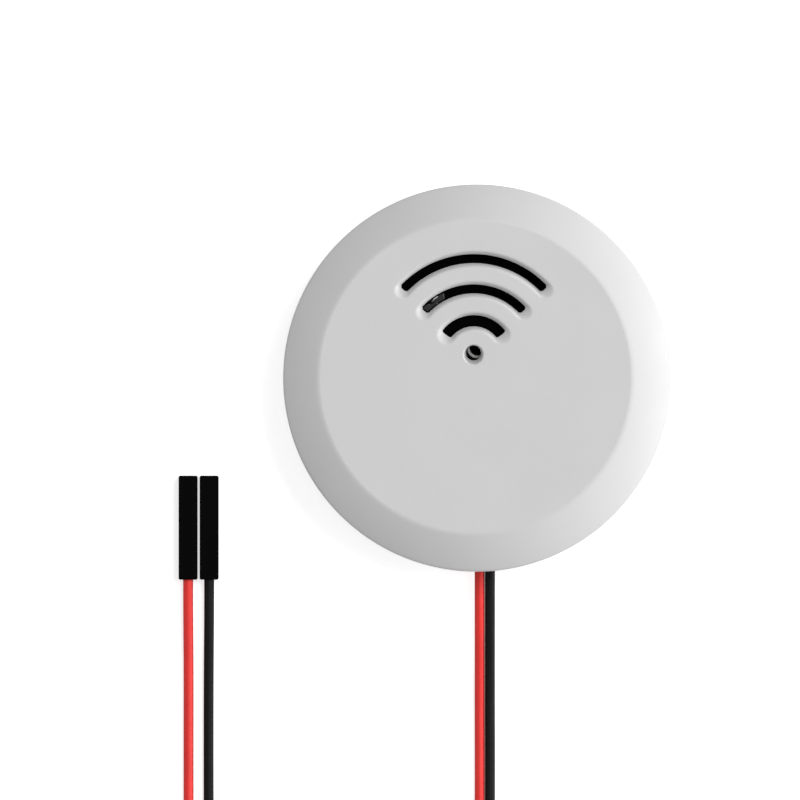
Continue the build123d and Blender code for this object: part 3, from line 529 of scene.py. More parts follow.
class Finishes:
    """The finishes of this object's pieces."""

    HOUSING = MouldedPlastic(
        "housing_white", "housing_white", (0.60, 0.60, 0.60), 0.48, grain=0.24, depth=9e-6
    )
    DOOR = MouldedPlastic("door_white", "door_white", (0.59, 0.59, 0.588), 0.52, grain=0.22)
    PART_BLACK = MouldedPlastic(
        "part_black", "part_black", (0.004, 0.004, 0.0042), 0.5, 0.06,
        mottle=0.12, speck_tone=2.5, rubbed=1.6,
    )
    # A darker, duller copy of the black part finish: the extra darkness paints shade on the sounder case
    # seen through the inner slot and the sound hole.
    SHADED_SOUNDER_CASE = MouldedPlastic(
        "sounder_case", "part_black", (0.0008, 0.0008, 0.0009), 0.4, 0.01,
        mottle=0.12, speck_tone=2.5, rubbed=2.0,
    )
    # The port ring's pale grey is a painted highlight: it stands for the lit lip of the sounder's port.
    PORT_RING_HIGHLIGHT = SoftRubber("port_ring_painted_highlight", "grommet_rubber", (0.36, 0.36, 0.355), 0.9, 0.2, dust=0.7)
    # Near-black sheet for the frames under the slots and the disc in the sounder's port: these pieces
    # sit where there is only shade, and their black paints that shade.
    SHADE_BLACK = SoftRubber("painted_shade_black", "part_black", (0.0012, 0.0012, 0.0012), 0.9, 0.0)
    SLEEVE = MouldedPlastic(
        "sleeve_black", "sleeve_black", (0.004, 0.004, 0.0042), 0.14, 0.36,
        mottle=0.1, speck_tone=2.0, rubbed=1.5, softened=0.02 * MM,
    )
    FLAP = replace(SLEEVE, name="sleeve_flap", roughness=0.12, specular=0.8)
    SOCKET = MouldedPlastic(
        "socket_black", "socket_black", (0.001, 0.001, 0.001), 0.55, 0.02,
        mottle=0.25, speck_tone=3.0, rubbed=2.2,
    )
    TIE = MouldedPlastic(
        "tie_black", "tie_black", (0.01, 0.01, 0.0105), 0.5, 0.25, mottle=0.2, speck_tone=3.0, rubbed=2.0
    )
    LENS = MouldedPlastic("led_lens", "led_white", (0.82, 0.82, 0.76), 0.2, grain=0.3, depth=1e-6)
    CERAMIC = MouldedPlastic(
        "chip_ceramic", "chip_brown", (0.34, 0.22, 0.13), 0.6, mottle=0.1, rubbed=1.3
    )
    SEAL = SoftRubber("seal_rubber", "seal_rubber", (0.02, 0.02, 0.02), 0.7, 0.3)
    GROMMET = SoftRubber("grommet_rubber", "grommet_rubber", (0.55, 0.55, 0.54), 0.65, 0.3, dust=0.9)
    RED = LeadInsulation("red_insulation", "red_insulation", (0.75, 0.024, 0.019), 0.5, 0.4)
    BLACK = LeadInsulation(
        "black_insulation", "black_insulation", (0.0012, 0.0012, 0.0013), 0.5, 0.12, bloom=1.6
    )
    SCREW = PlatedMetal("screw_zinc", "screw_steel", (0.60, 0.61, 0.63), 0.32)
    CELL = PlatedMetal("cell_can", "cell_steel", (0.68, 0.68, 0.68), 0.28, tarnished=0.15)
    CONTACT = PlatedMetal("contact_strip", "contact_metal", (0.72, 0.68, 0.58), 0.25)
    BRASS = PlatedMetal(
        "sounder_disc_brass", "sounder_brass", (0.72, 0.52, 0.22), 0.35, tarnish=(0.45, 0.28, 0.1)
    )
    TIN = PlatedMetal("tinned_metal", "tin_metal", (0.64, 0.65, 0.66), 0.3, tarnished=0.2)
    BOARD = SolderMask("board_lacquer", "board_black", (0.0016, 0.0017, 0.0018), 0.4, 0.03)


def to_piece(shape: Shape, name: str, sharp_above: float = 35.0) -> Piece:
    """Turns a bmesh into a smooth-shaded piece at the origin, with its place in its mesh.

    Args:
        shape: the bmesh, which is freed.
        name: the piece's name.
        sharp_above: edges that turn more than this many degrees stay sharp.

    Returns:
        The piece.
    """
    bmesh.ops.recalc_face_normals(shape, faces=shape.faces[:])
    mesh = bpy.data.meshes.new(name)
    shape.to_mesh(mesh)
    shape.free()
    mesh.shade_smooth()
    mesh.set_sharp_from_angle(angle=math.radians(sharp_above))
    made = bpy.data.objects.new(name, mesh)
    bpy.context.scene.collection.objects.link(made)
    return made


def finish_piece(piece: Piece, finish: Finish, *nodes: str) -> None:
    """Dresses a piece, lets it ride on the housing and reports it.

    Args:
        piece: the piece.
        finish: what it is made of.
        nodes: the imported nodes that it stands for.
    """
    piece.data.materials.append(finish.material())
    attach(piece, MAIN_BODY)
    if nodes:
        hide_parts(*nodes)
    log.info("%s on %s, finish %s", piece.name, MAIN_BODY, finish.name)


def cut(piece: Piece, cutters: list[Piece]) -> Shape:
    """Takes cutters away from a piece.

    Args:
        piece: the piece, which is removed.
        cutters: closed objects, which are removed too.

    Returns:
        The result as a bmesh.
    """
    for cutter in cutters:
        modifier = piece.modifiers.new(cutter.name, "BOOLEAN")
        modifier.operation = "DIFFERENCE"
        modifier.solver = "EXACT"
        modifier.object = cutter
    graph = bpy.context.evaluated_depsgraph_get()
    mesh = bpy.data.meshes.new_from_object(piece.evaluated_get(graph))
    for used in (piece, *cutters):
        bpy.data.objects.remove(used)
    shape = bmesh.new()
    shape.from_mesh(mesh)
    bpy.data.meshes.remove(mesh)
    return shape


def edges_at(corners: Corners) -> list[bmesh.types.BMEdge]:
    """Every edge that ends at one of the corners, each once."""
    return list(dict.fromkeys(edge for corner in corners for edge in corner.link_edges))


def thicken(shape: Shape, height: float) -> None:
    """Extrudes flat faces upwards.

    Args:
        shape: a bmesh of flat faces.
        height: how far their copy is lifted.
    """
    lifted = bmesh.ops.extrude_face_region(shape, geom=shape.faces[:])["geom"]
    tops = [item for item in lifted if isinstance(item, bmesh.types.BMVert)]
    bmesh.ops.translate(shape, verts=tops, vec=UP * height)


def soften(shape: Shape, edges: Edges, bend: float, segments: int, clamped: bool = True) -> Corners:
    """Rounds edges.

    Args:
        shape: the bmesh.
        edges: its edges to round.
        bend: how far each bend reaches from its edge.
        segments: how many faces stand for a bend.
        clamped: whether a bend stops where it meets the next.

    Returns:
        The bends' corners.
    """
    return bmesh.ops.bevel(
        shape, geom=list(edges), offset=bend, segments=segments, profile=0.5,
        affect="EDGES", material=-1, clamp_overlap=clamped,
    )["verts"]


def add_box(shape: Shape, size: Sequence[float], centre: Sequence[float] = (0, 0, 0)) -> Corners:
    """Adds a box.

    Args:
        shape: the bmesh that it goes into.
        size: its size along X, Y and Z.
        centre: where its middle is.

    Returns:
        Its corners.
    """
    corners = bmesh.ops.create_cube(shape, size=1.0)["verts"]
    bmesh.ops.scale(shape, verts=corners, vec=size)
    bmesh.ops.translate(shape, verts=corners, vec=centre)
    return corners


class Outline:
    """A half section that is turned about the Z axis, as points (radius, height)."""

    def __init__(self, *points: tuple[float, float]) -> None:
        """Starts the outline with its first points."""
        self.points: list[Vector] = []
        self.to(*points)

    def to(self, *points: tuple[float, float]) -> None:
        """Adds straight runs to points."""
        self.points += [Vector((radius, 0, height)) for radius, height in points]

    def turn(self, bend: float, slope_from: float, slope_to: float, steps: int) -> None:
        """Adds a round stretch that starts at the last point.

        Args:
            bend: radius of the stretch.
            slope_from: its slope below level at its start, in degrees, going outwards.
            slope_to: its slope at its end.
            steps: how many straight pieces stand for it.
        """
        first, last = math.radians(slope_from), math.radians(slope_to)
        start = self.points[-1]
        for step in range(1, steps + 1):
            slope = first + (last - first) * step / steps
            across = bend * (math.sin(slope) - math.sin(first))
            down = bend * (math.cos(first) - math.cos(slope))
            self.points.append(start + Vector((across, 0, -down)))

    def spun(
        self, segments: int, centre: tuple[float, float] = (0.0, 0.0), looped: bool = False
    ) -> Shape:
        """Turns the outline and closes what is still open.

        Args:
            segments: how many steps the full turn has.
            centre: where its axis stands.
            looped: whether the outline closes on itself, as a ring's does; any other is capped.

        Returns:
            The closed shape.
        """
        shape = bmesh.new()
        chain = [shape.verts.new(point) for point in self.points]
        follow = chain[1:] + chain[:1] if looped else chain[1:]
        edges = [shape.edges.new(pair) for pair in zip(chain, follow)]
        bmesh.ops.spin(
            shape, geom=chain + edges, cent=(0, 0, 0), axis=UP,
            angle=math.tau, steps=segments, use_merge=True,
        )
        bmesh.ops.remove_doubles(shape, verts=shape.verts[:], dist=WELD)
        rims = [edge for edge in shape.edges if edge.is_boundary]
        bmesh.ops.holes_fill(shape, edges=rims, sides=segments + 1)
        bmesh.ops.recalc_face_normals(shape, faces=shape.faces[:])
        bmesh.ops.translate(shape, verts=shape.verts[:], vec=(*centre, 0))
        return shape


@dataclass
class FrontShell:
    """The front cover: a shallow cup with a bevelled rim and the sound slots in its face.

    Attributes are sizes in metres and angles in degrees. Each step of groove_wall is how far the
    wall draws in and how far it drops. The face ends where a normal rises less than level_normal.
    """

    radius: float = 26 * MM
    height: float = 16 * MM
    face_radius: float = 21.15 * MM
    inner_slope: float = 25.0
    outer_slope: float = 40.0
    face_edge_bend: float = 1.6 * MM
    shoulder_bend: float = 0.9 * MM
    lip_bend: float = 0.26 * MM
    wall: float = 1.8 * MM
    roof: float = 1.9 * MM
    seam_height: float = 2.0 * MM
    segments: int = 224
    arc_steps: int = 48
    end_steps: int = 16
    hole_segments: int = 48
    slot_centre: tuple[float, float] = (-0.42 * MM, 3.1 * MM)
    slots: tuple[tuple[float, float], ...] = (
        (12.92 * MM, 1.2 * MM), (8.86 * MM, 1.2 * MM), (4.58 * MM, 1.5 * MM)
    )
    slot_half_span: float = 44.5
    slot_corner: float = 0.28 * MM
    groove_wall: tuple[tuple[float, float], ...] = (
        (0.10 * MM, 0.08 * MM), (0.15 * MM, 0.22 * MM), (0.15 * MM, 0.26 * MM), (0.10 * MM, 0.34 * MM)
    )
    groove_rounding: float = 0.13 * MM
    level_normal: float = 0.995
    groove_run_out: float = 0.7 * MM
    groove_drop: float = 0.05 * MM
    face_shift: tuple[float, float] = (-0.24 * MM, 0.12 * MM)
    dish_centre: tuple[float, float] = (-0.48 * MM, 3.13 * MM)
    dish_radius: float = 1.32 * MM
    dish_depth: float = 1.3 * MM
    dish_floor_share: float = 0.96
    frame_width: float = 0.7 * MM
    frame_reach: float = 0.2 * MM
    frame_thickness: float = 0.1 * MM
    hole_centre: tuple[float, float] = (-0.46 * MM, 3.37 * MM)
    hole_radius: float = 1.0 * MM
    notch_x: float = 1.10 * MM
    notch_size: Point = (4.6 * MM, 6 * MM, 5.4 * MM)

    def build(self) -> None:
        """Makes the cover's mesh, cuts its slots and dresses it."""
        grooves = [self.groove_cutter(radius, width) for radius, width in self.slots]
        shape = cut(self.cup(), [*grooves, self.dish_cutter()])
        near_face = self.height - NEAR
        rims = [
            edge for edge in shape.edges
            if all(vertex.co.z > near_face for vertex in edge.verts)
            and any(face.normal.z < self.level_normal for face in edge.link_faces)
        ]
        soften(shape, rims, self.groove_rounding, 3, clamped=False)
        grooved = to_piece(shape, "front_cover_grooved")
        notch = bmesh.new()
        add_box(notch, self.notch_size, (self.notch_x, -self.radius, self.seam_height))
        slots = [self.slot_cutter(radius, width) for radius, width in self.slots]
        ways = [*slots, self.hole_cutter(), to_piece(notch, "lead_notch_cutter")]
        shell = to_piece(cut(grooved, ways), "front_cover_shell", sharp_above=32.0)
        shell.modifiers.new("even_normals", "WEIGHTED_NORMAL").keep_sharp = True
        finish_piece(shell, Finishes.HOUSING, "front_cover")
        self.build_shade_frames()

    def outline(self) -> Outline:
        """Draws the cup's half section, from the face's edge to the roof's underside.

        Returns:
            The section.
        """
        slope_in, slope_out = math.radians(self.inner_slope), math.radians(self.outer_slope)
        face_end = self.face_radius - self.face_edge_bend * math.tan(slope_in / 2)
        edge_end = face_end + self.face_edge_bend * math.sin(slope_in)
        shoulder_start = self.radius - self.shoulder_bend * (1 - math.sin(slope_out))
        bevel_bend = (shoulder_start - edge_end) / (math.sin(slope_out) - math.sin(slope_in))
        section = Outline((face_end, self.height))
        section.turn(self.face_edge_bend, 0, self.inner_slope, 6)
        section.turn(bevel_bend, self.inner_slope, self.outer_slope, 12)
        section.turn(self.shoulder_bend, self.outer_slope, 90, 8)
        shoulder_z = section.points[-1].z
        section.to((self.radius, self.seam_height + self.lip_bend))
        section.turn(self.lip_bend, 90, 180, 4)
        inside = self.radius - self.wall
        section.to(
            (inside, self.seam_height), (inside, shoulder_z - self.roof / 2),
            (self.face_radius - self.roof / 2, self.height - self.roof),
        )
        return section

    def cup(self) -> Piece:
        """Makes the closed cup, with its face a little off the middle of its rim.

        Returns:
            The cup.
        """
        section = self.outline()
        side = [point.z for point in section.points if point.x > self.radius - NEAR]
        shoulder = min(z for z in side if z > self.height / 2)
        shape = section.spun(self.segments)
        for vertex in shape.verts:
            share = max(0.0, (vertex.co.z - shoulder) / (self.height - shoulder))
            vertex.co += share * Vector((*self.face_shift, 0))
        return to_piece(shape, "front_cover_cup")

    def around(self, reach: float, turn: float, level: float) -> Vector:
        """A point that far from the slots' centre, turned clockwise from +Y, at a level."""
        return Vector((*self.slot_centre, level)) + reach * Vector((math.sin(turn), math.cos(turn), 0))

    @staticmethod
    def sunk(shape: Shape) -> bmesh.types.BMFace:
        """Turns an outline on the face into a closed cutter that reaches out of the face.

        Args:
            shape: the outline as one face.

        Returns:
            The face that is the cutter's floor, still level with the face.
        """
        thicken(shape, REACH)
        return min(shape.faces, key=lambda face: (len(face.verts) == 4, face.calc_center_median().z))

    def groove_cutter(self, radius: float, width: float) -> Piece:
        """Makes the wide part of one slot: a stadium that follows an arc, with a rounded wall.

        Args:
            radius: the slot's middle radius.
            width: the slot's width.

        Returns:
            The cutter.
        """
        shape = bmesh.new()
        margin = sum(step for step, _ in self.groove_wall)
        floor_half = math.radians(self.slot_half_span)
        half = floor_half + self.groove_run_out / radius
        centre = self.around(0, 0, self.height)
        left, right = (self.around(radius, side * half, self.height) for side in (-1, 1))
        tip = [shape.verts.new(self.around(radius + width / 2 + margin, half, self.height))]
        for middle, angle, steps in (
            (centre, 2 * half, self.arc_steps), (left, math.pi, self.end_steps),
            (centre, -2 * half, self.arc_steps), (right, math.pi, self.end_steps),
        ):
            spun = bmesh.ops.spin(shape, geom=tip, cent=middle, axis=UP, angle=angle, steps=steps)
            tip = [item for item in spun["geom_last"] if isinstance(item, bmesh.types.BMVert)]
        bmesh.ops.remove_doubles(shape, verts=shape.verts[:], dist=WELD)
        bmesh.ops.contextual_create(shape, geom=shape.edges[:])
        floor = self.sunk(shape)
        for step, drop in self.groove_wall:
            bmesh.ops.inset_region(shape, faces=[floor], thickness=step, use_even_offset=True)
            bmesh.ops.translate(shape, verts=floor.verts[:], vec=-UP * drop)
            drawn_in = half - (half - floor_half) * step / margin
            for vertex in floor.verts:
                across = vertex.co - centre
                turn = Matrix.Rotation(math.atan2(across.x, across.y) * (1 - drawn_in / half), 3, "Z")
                bmesh.ops.rotate(shape, verts=[vertex], cent=centre, matrix=turn)
            margin -= step
            half = drawn_in
        bmesh.ops.translate(shape, verts=shape.verts[:], vec=(0, -self.groove_drop, 0))
        return to_piece(shape, "groove_cutter")

    def slot_outline(self, radius: float, width: float, wider: float, level: float) -> Shape:
        """Draws a slot's outline: a sector of a ring with cut corners.

        Args:
            radius: the slot's middle radius.
            width: the slot's width.
            wider: how far the outline lies outside the slot's.
            level: its height.

        Returns:
            The outline as flat faces.
        """
        shape = bmesh.new()
        half = math.radians(self.slot_half_span) + (width / 2 + wider) / radius
        reaches = (radius - width / 2 - wider, radius + width / 2 + wider)
        ends = [shape.verts.new(self.around(reach, half, level)) for reach in reaches]
        geometry = [*ends, shape.edges.new(ends)]
        centre = self.around(0, 0, level)
        bmesh.ops.spin(
            shape, geom=geometry, cent=centre, axis=UP, angle=2 * half, steps=self.arc_steps
        )
        corners = [vertex for vertex in shape.verts if len(vertex.link_faces) == 1]
        bmesh.ops.bevel(
            shape, geom=corners, offset=self.slot_corner, segments=1, profile=0.5,
            affect="VERTICES", material=-1, clamp_overlap=False,
        )
        return shape

    def slot_cutter(self, radius: float, width: float) -> Piece:
        """Makes the way of one slot through the roof.

        Args:
            radius: the slot's middle radius.
            width: the slot's width.

        Returns:
            The cutter.
        """
        shape = self.slot_outline(radius, width, 0.0, self.height - self.roof - REACH)
        thicken(shape, self.roof + 2 * REACH)
        return to_piece(shape, "slot_cutter")

    def dish_cutter(self) -> Piece:
        """Makes a round dish for the sound hole.

        Returns:
            The cutter.
        """
        shape = bmesh.new()
        place = Matrix.Translation((*self.dish_centre, self.height))
        bmesh.ops.create_circle(
            shape, cap_ends=True, segments=self.hole_segments, radius=self.dish_radius, matrix=place
        )
        floor = self.sunk(shape)
        margin = self.dish_radius - self.dish_floor_share * self.hole_radius
        bmesh.ops.inset_region(shape, faces=[floor], thickness=margin, use_even_offset=True)
        aside = Vector(self.hole_centre) - Vector(self.dish_centre)
        bmesh.ops.translate(shape, verts=floor.verts[:], vec=(*aside, -self.dish_depth))
        return to_piece(shape, "dish_cutter")

    def hole_cutter(self) -> Piece:
        """Makes a round pin that reaches through the roof.

        Returns:
            The cutter.
        """
        shape = bmesh.new()
        bmesh.ops.create_cone(
            shape, cap_ends=True, segments=self.hole_segments,
            radius1=self.hole_radius, radius2=self.hole_radius, depth=self.roof + 2 * REACH,
            matrix=Matrix.Translation((*self.hole_centre, self.height - self.roof / 2)),
        )
        return to_piece(shape, "sound_hole_cutter")

    def build_shade_frames(self) -> None:
        """Sticks a thin black frame under each slot, whose inner edge just shows in it as painted shade
        along the slot's edges.
        """
        frames = bmesh.new()
        level = self.height - self.roof - self.frame_thickness
        for radius, width in self.slots:
            shape = self.slot_outline(radius, width, self.frame_width, level)
            rim = bmesh.ops.inset_region(
                shape, faces=shape.faces[:], thickness=self.frame_width + self.frame_reach,
                use_boundary=True, use_even_offset=True,
            )["faces"]
            inside = [face for face in shape.faces if face not in rim]
            bmesh.ops.delete(shape, geom=inside, context="FACES")
            thicken(shape, self.frame_thickness)
            mesh = bpy.data.meshes.new("slot_shade_frame")
            shape.to_mesh(mesh)
            shape.free()
            frames.from_mesh(mesh)
            bpy.data.meshes.remove(mesh)
        finish_piece(to_piece(frames, "slot_shade_frames"), Finishes.SHADE_BLACK)


@dataclass
class SensingLead:
    """One lead: out of the housing, through its put-away coil and back to its socket.

    Attributes are sizes in metres, apart from these.

    Attributes:
        colour: which lead it is.
        finish: what its insulation is made of.
        ring_offset: how far its coil lies outside the middle of the pair's, in millimetres.
        turn_back: after how many turns its coil starts outwards again.
        start: points from the housing to the coil, in millimetres.
        end: points from the coil to the socket, in millimetres.
        coil_centre: the coil's axis, in millimetres, as its other coil sizes are.
        climb_turns: over how many turns it climbs to the upper layer.
    """

    colour: LeadColour
    finish: Finish
    ring_offset: float
    turn_back: float
    start: tuple[Point, ...]
    end: tuple[Point, ...]
    diameter: float = 1.36 * MM
    length: float = 505 * MM
    coil_centre: tuple[float, float] = (-18.05, -78.0)
    coil_radius: float = 17.2
    coil_pitch: float = 2.8
    coil_turns: float = 4.5
    coil_low: float = 1.03
    coil_step: float = 1.80
    climb_turns: float = 0.5
    points_per_turn: int = 24

    def coil(self) -> list[Point]:
        """Lays the coil's points: in on the lower layer, out on the upper one.

        Returns:
            The points, in millimetres.
        """
        points = []
        for step in range(round(self.coil_turns * self.points_per_turn) + 1):
            turn = step / self.points_per_turn
            inward = min(turn, self.turn_back)
            outward = max(turn - self.turn_back, 0)
            radius = self.coil_radius + self.ring_offset - self.coil_pitch * (inward - outward)
            climbed = min(max((turn - self.turn_back) / self.climb_turns + 0.5, 0), 1)
            points.append((
                self.coil_centre[0] + radius * math.cos(math.tau * turn),
                self.coil_centre[1] - radius * math.sin(math.tau * turn),
                self.coil_low + self.coil_step * climbed**2 * (3 - 2 * climbed),
            ))
        return points

    def build(self) -> None:
        side = self.colour.value
        name = f"{side}_lead"
        curve = bpy.data.curves.new(name, "CURVE")
        curve.dimensions = "3D"
        curve.bevel_depth = self.diameter / 2
        curve.bevel_resolution = 6
        curve.use_fill_caps = True
        curve.resolution_u = 8
        spline = curve.splines.new("NURBS")
        points = [*self.start, *self.coil(), *self.end]
        spline.points.add(len(points) - 1)
        for place, point in zip(spline.points, points):
            place.co = (*(value * MM for value in point), 1)
        spline.order_u = 3
        spline.use_endpoint_u = True
        lead = bpy.data.objects.new(name, curve)
        bpy.context.scene.collection.objects.link(lead)
        finish_piece(lead, self.finish, *(f"{name}_{stretch}" for stretch in ("start", "coil", "end")))


class LeadPair:
    """The two sensing leads, on the routes that their packed tubes follow."""

    leads = (
        SensingLead(
            LeadColour.RED, Finishes.RED, -0.7, 2.0,
            start=(
                (0.41, -25.6, 3.0), (0.41, -31.0, 3.0), (0.41, -41.2, 0.68), (0.43, -52.4, 0.68),
                (0.41, -60.8, 0.68), (-1.55, -70.6, 1.03), (-1.55, -76.64, 1.03),
            ),
            end=(
                (-35.95, -76.64, 2.83), (-35.95, -71.4, 2.83), (-38.78, -61.6, 0.68),
                (-38.80, -52.0, 0.68), (-38.78, -39.2, 0.68),
                (-38.85, -31.4, 1.27), (-38.85, -24.6, 1.27),
            ),
        ),
        SensingLead(
            LeadColour.BLACK, Finishes.BLACK, 0.7, 2.5,
            start=(
                (1.79, -25.6, 3.0), (1.79, -31.0, 3.0), (1.79, -41.2, 0.68), (1.81, -52.4, 0.68),
                (1.79, -61.1, 0.68), (-0.15, -70.6, 1.03), (-0.15, -76.64, 1.03),
            ),
            end=(
                (-34.55, -76.64, 2.83), (-34.55, -71.4, 2.83), (-36.07, -61.6, 0.68),
                (-36.10, -52.0, 0.68), (-36.08, -39.2, 0.68),
                (-36.01, -31.4, 1.27), (-36.01, -24.6, 1.27),
            ),
        ),
    )

    def build(self) -> None:
        """Makes both leads."""
        for lead in self.leads:
            lead.build()


@dataclass
class Sounder:
    """The sounder's moulded case, a pale grey ring on its port whose grey paints the highlight on the
    port's lip, and a black disc in the port whose black paints the shade deep inside it.

    Attributes are sizes in metres.
    """

    centre: tuple[float, float] = (0.02 * MM, 4.0 * MM)
    radius: float = 6.0 * MM
    top: float = 13.5 * MM
    bottom: float = 8.9 * MM
    wall: float = 0.8 * MM
    edge_bend: float = 0.4 * MM
    port_radius: float = 0.97 * MM
    port_bend: float = 0.15 * MM
    port_ring_width: float = 0.40 * MM
    port_ring_height: float = 0.5 * MM
    shade_disc_depth: float = 0.3 * MM
    shade_disc_thickness: float = 0.12 * MM
    chamber_radius: float = 4.4 * MM
    chamber_height: float = 0.7 * MM
    segments: int = 96

    def build(self) -> None:
        """Makes the case and what is on its port."""
        underside = self.top - self.wall
        seat = underside - self.chamber_height
        bore = self.radius - self.wall
        section = Outline((self.port_radius, self.top - self.port_bend))
        section.turn(self.port_bend, -90, 0, 4)
        section.to((self.radius - self.edge_bend, self.top))
        section.turn(self.edge_bend, 0, 90, 6)
        section.to(
            (self.radius, self.bottom), (bore, self.bottom), (bore, seat), (self.chamber_radius, seat),
            (self.chamber_radius, underside), (self.port_radius, underside),
        )
        case = to_piece(section.spun(self.segments, self.centre, looped=True), "sounder_case")
        finish_piece(case, Finishes.SHADED_SOUNDER_CASE, "sounder_housing")
        self.build_highlight_ring()
        self.build_port_shade_disc()

    def build_highlight_ring(self) -> None:
        """Makes the pale grey ring round the port, a little crushed between the case and the cover's
        roof; its grey paints the highlight on the port's lip.
        """
        bend = self.port_ring_width / 2
        bend_start = self.top + self.port_ring_height - bend
        section = Outline((self.port_radius, self.top), (self.port_radius, bend_start))
        section.turn(bend, -90, 90, 10)
        section.to((self.port_radius + self.port_ring_width, self.top))
        ring = to_piece(section.spun(self.segments, self.centre, looped=True), "sounder_port_highlight_ring")
        finish_piece(ring, Finishes.PORT_RING_HIGHLIGHT)

    def build_port_shade_disc(self) -> None:
        """Makes a thin black disc pressed into the port, whose black paints the shade deep inside the
        port.
        """
        level = self.top - self.shade_disc_depth
        below = level - self.shade_disc_thickness
        section = Outline(
            (AXIS_GAP, level), (self.port_radius, level), (self.port_radius, below), (AXIS_GAP, below)
        )
        port_shade = to_piece(section.spun(self.segments, self.centre), "sounder_port_shade_disc")
        finish_piece(port_shade, Finishes.SHADE_BLACK)


@dataclass
class DriverCoil:
    """The coil that drives the sounder, in a shrink sleeve folded over its drum.

    Attributes are sizes in metres and angles in degrees. Each flap of the sleeve is written in
    millimetres from the drum's axis: x, y, length, width and the way that it points.
    """

    centre: tuple[float, float] = (-6.3 * MM, 10.6 * MM)
    radius: float = 2.04 * MM
    bottom: float = 8.9 * MM
    top: float = 13.4 * MM
    edge_bend: float = 0.12 * MM
    mouth_radius: float = 0.5 * MM
    dish_depth: float = 0.1 * MM
    rings: int = 6
    pleats: int = 11
    pleat_depth: float = 0.012 * MM
    flap_thickness: float = 0.12 * MM
    flap_taper: float = 0.4
    flap_tilt: float = 12.5
    flap_faces: float = 30.0
    flaps: tuple[tuple[float, float, float, float, float], ...] = (
        (0.78, 0.24, 1.75, 0.72, 49.0),
        (0.93, -0.66, 0.34, 0.26, 20.0),
    )
    segments: int = 88

    def build(self) -> None:
        """Makes the sleeve and the flaps that lie on it."""
        shape = self.drum()
        bmesh.ops.translate(shape, verts=shape.verts[:], vec=(*self.centre, 0))
        sleeve = to_piece(shape, "driver_coil_sleeve", sharp_above=50.0)
        finish_piece(sleeve, Finishes.SLEEVE, "driver_coil")
        shape = bmesh.new()
        for x, y, length, width, pointing in self.flaps:
            self.add_flap(shape, Vector((x, y, 0)) * MM, length * MM, width * MM, math.radians(pointing))
        bmesh.ops.translate(shape, verts=shape.verts[:], vec=(*self.centre, 0))
        finish_piece(to_piece(shape, "driver_coil_flaps"), Finishes.FLAP)

    def drum(self) -> Shape:
        """Turns the sleeve's section and pleats its folded top.

        Returns:
            The sleeve, about the origin.
        """
        floor = self.top - self.dish_depth
        section = Outline((AXIS_GAP, floor), (self.mouth_radius, floor))
        flat = self.radius - self.edge_bend - self.mouth_radius
        for ring in range(1, self.rings + 1):
            section.to((self.mouth_radius + flat * ring / self.rings, self.top))
        section.turn(self.edge_bend, 0, 90, 7)
        section.to((self.radius, self.bottom), (AXIS_GAP, self.bottom))
        shape = section.spun(self.segments)
        for vertex in shape.verts:
            reach = vertex.co.xy.length
            if vertex.co.z > self.top - self.edge_bend and reach > self.mouth_radius:
                turn = math.atan2(vertex.co.y, vertex.co.x)
                share = 1 - abs(2 * (reach - self.mouth_radius) / (self.radius - self.mouth_radius) - 1)
                vertex.co.z -= self.pleat_depth * share * (1 + math.sin(self.pleats * turn)) / 2
        return shape

    def add_flap(
        self, shape: Shape, place: Vector, length: float, width: float, pointing: float
    ) -> None:
        """Lays one folded flap of the sleeve on the drum, leaning as the fold left it.

        Args:
            shape: the bmesh that it goes into.
            place: its middle, from the drum's axis.
            length: its length.
            width: its width at its wide end.
            pointing: the way that its wide end points, in radians.
        """
        flap = add_box(shape, (length, width, self.flap_thickness))
        tail = [vertex for vertex in flap if vertex.co.x < 0]
        bmesh.ops.scale(shape, verts=tail, vec=(1, self.flap_taper, 1))
        faces = math.radians(self.flap_faces)
        hinge = Vector((-math.sin(faces), math.cos(faces), 0))
        lean = Matrix.Rotation(math.radians(self.flap_tilt), 3, hinge)
        for turn in (Matrix.Rotation(pointing, 3, "Z"), lean):
            bmesh.ops.rotate(shape, verts=flap, cent=(0, 0, 0), matrix=turn)
        bmesh.ops.translate(shape, verts=flap, vec=place + UP * self.top)
        soften(shape, edges_at(flap), self.flap_thickness / 4, 2)


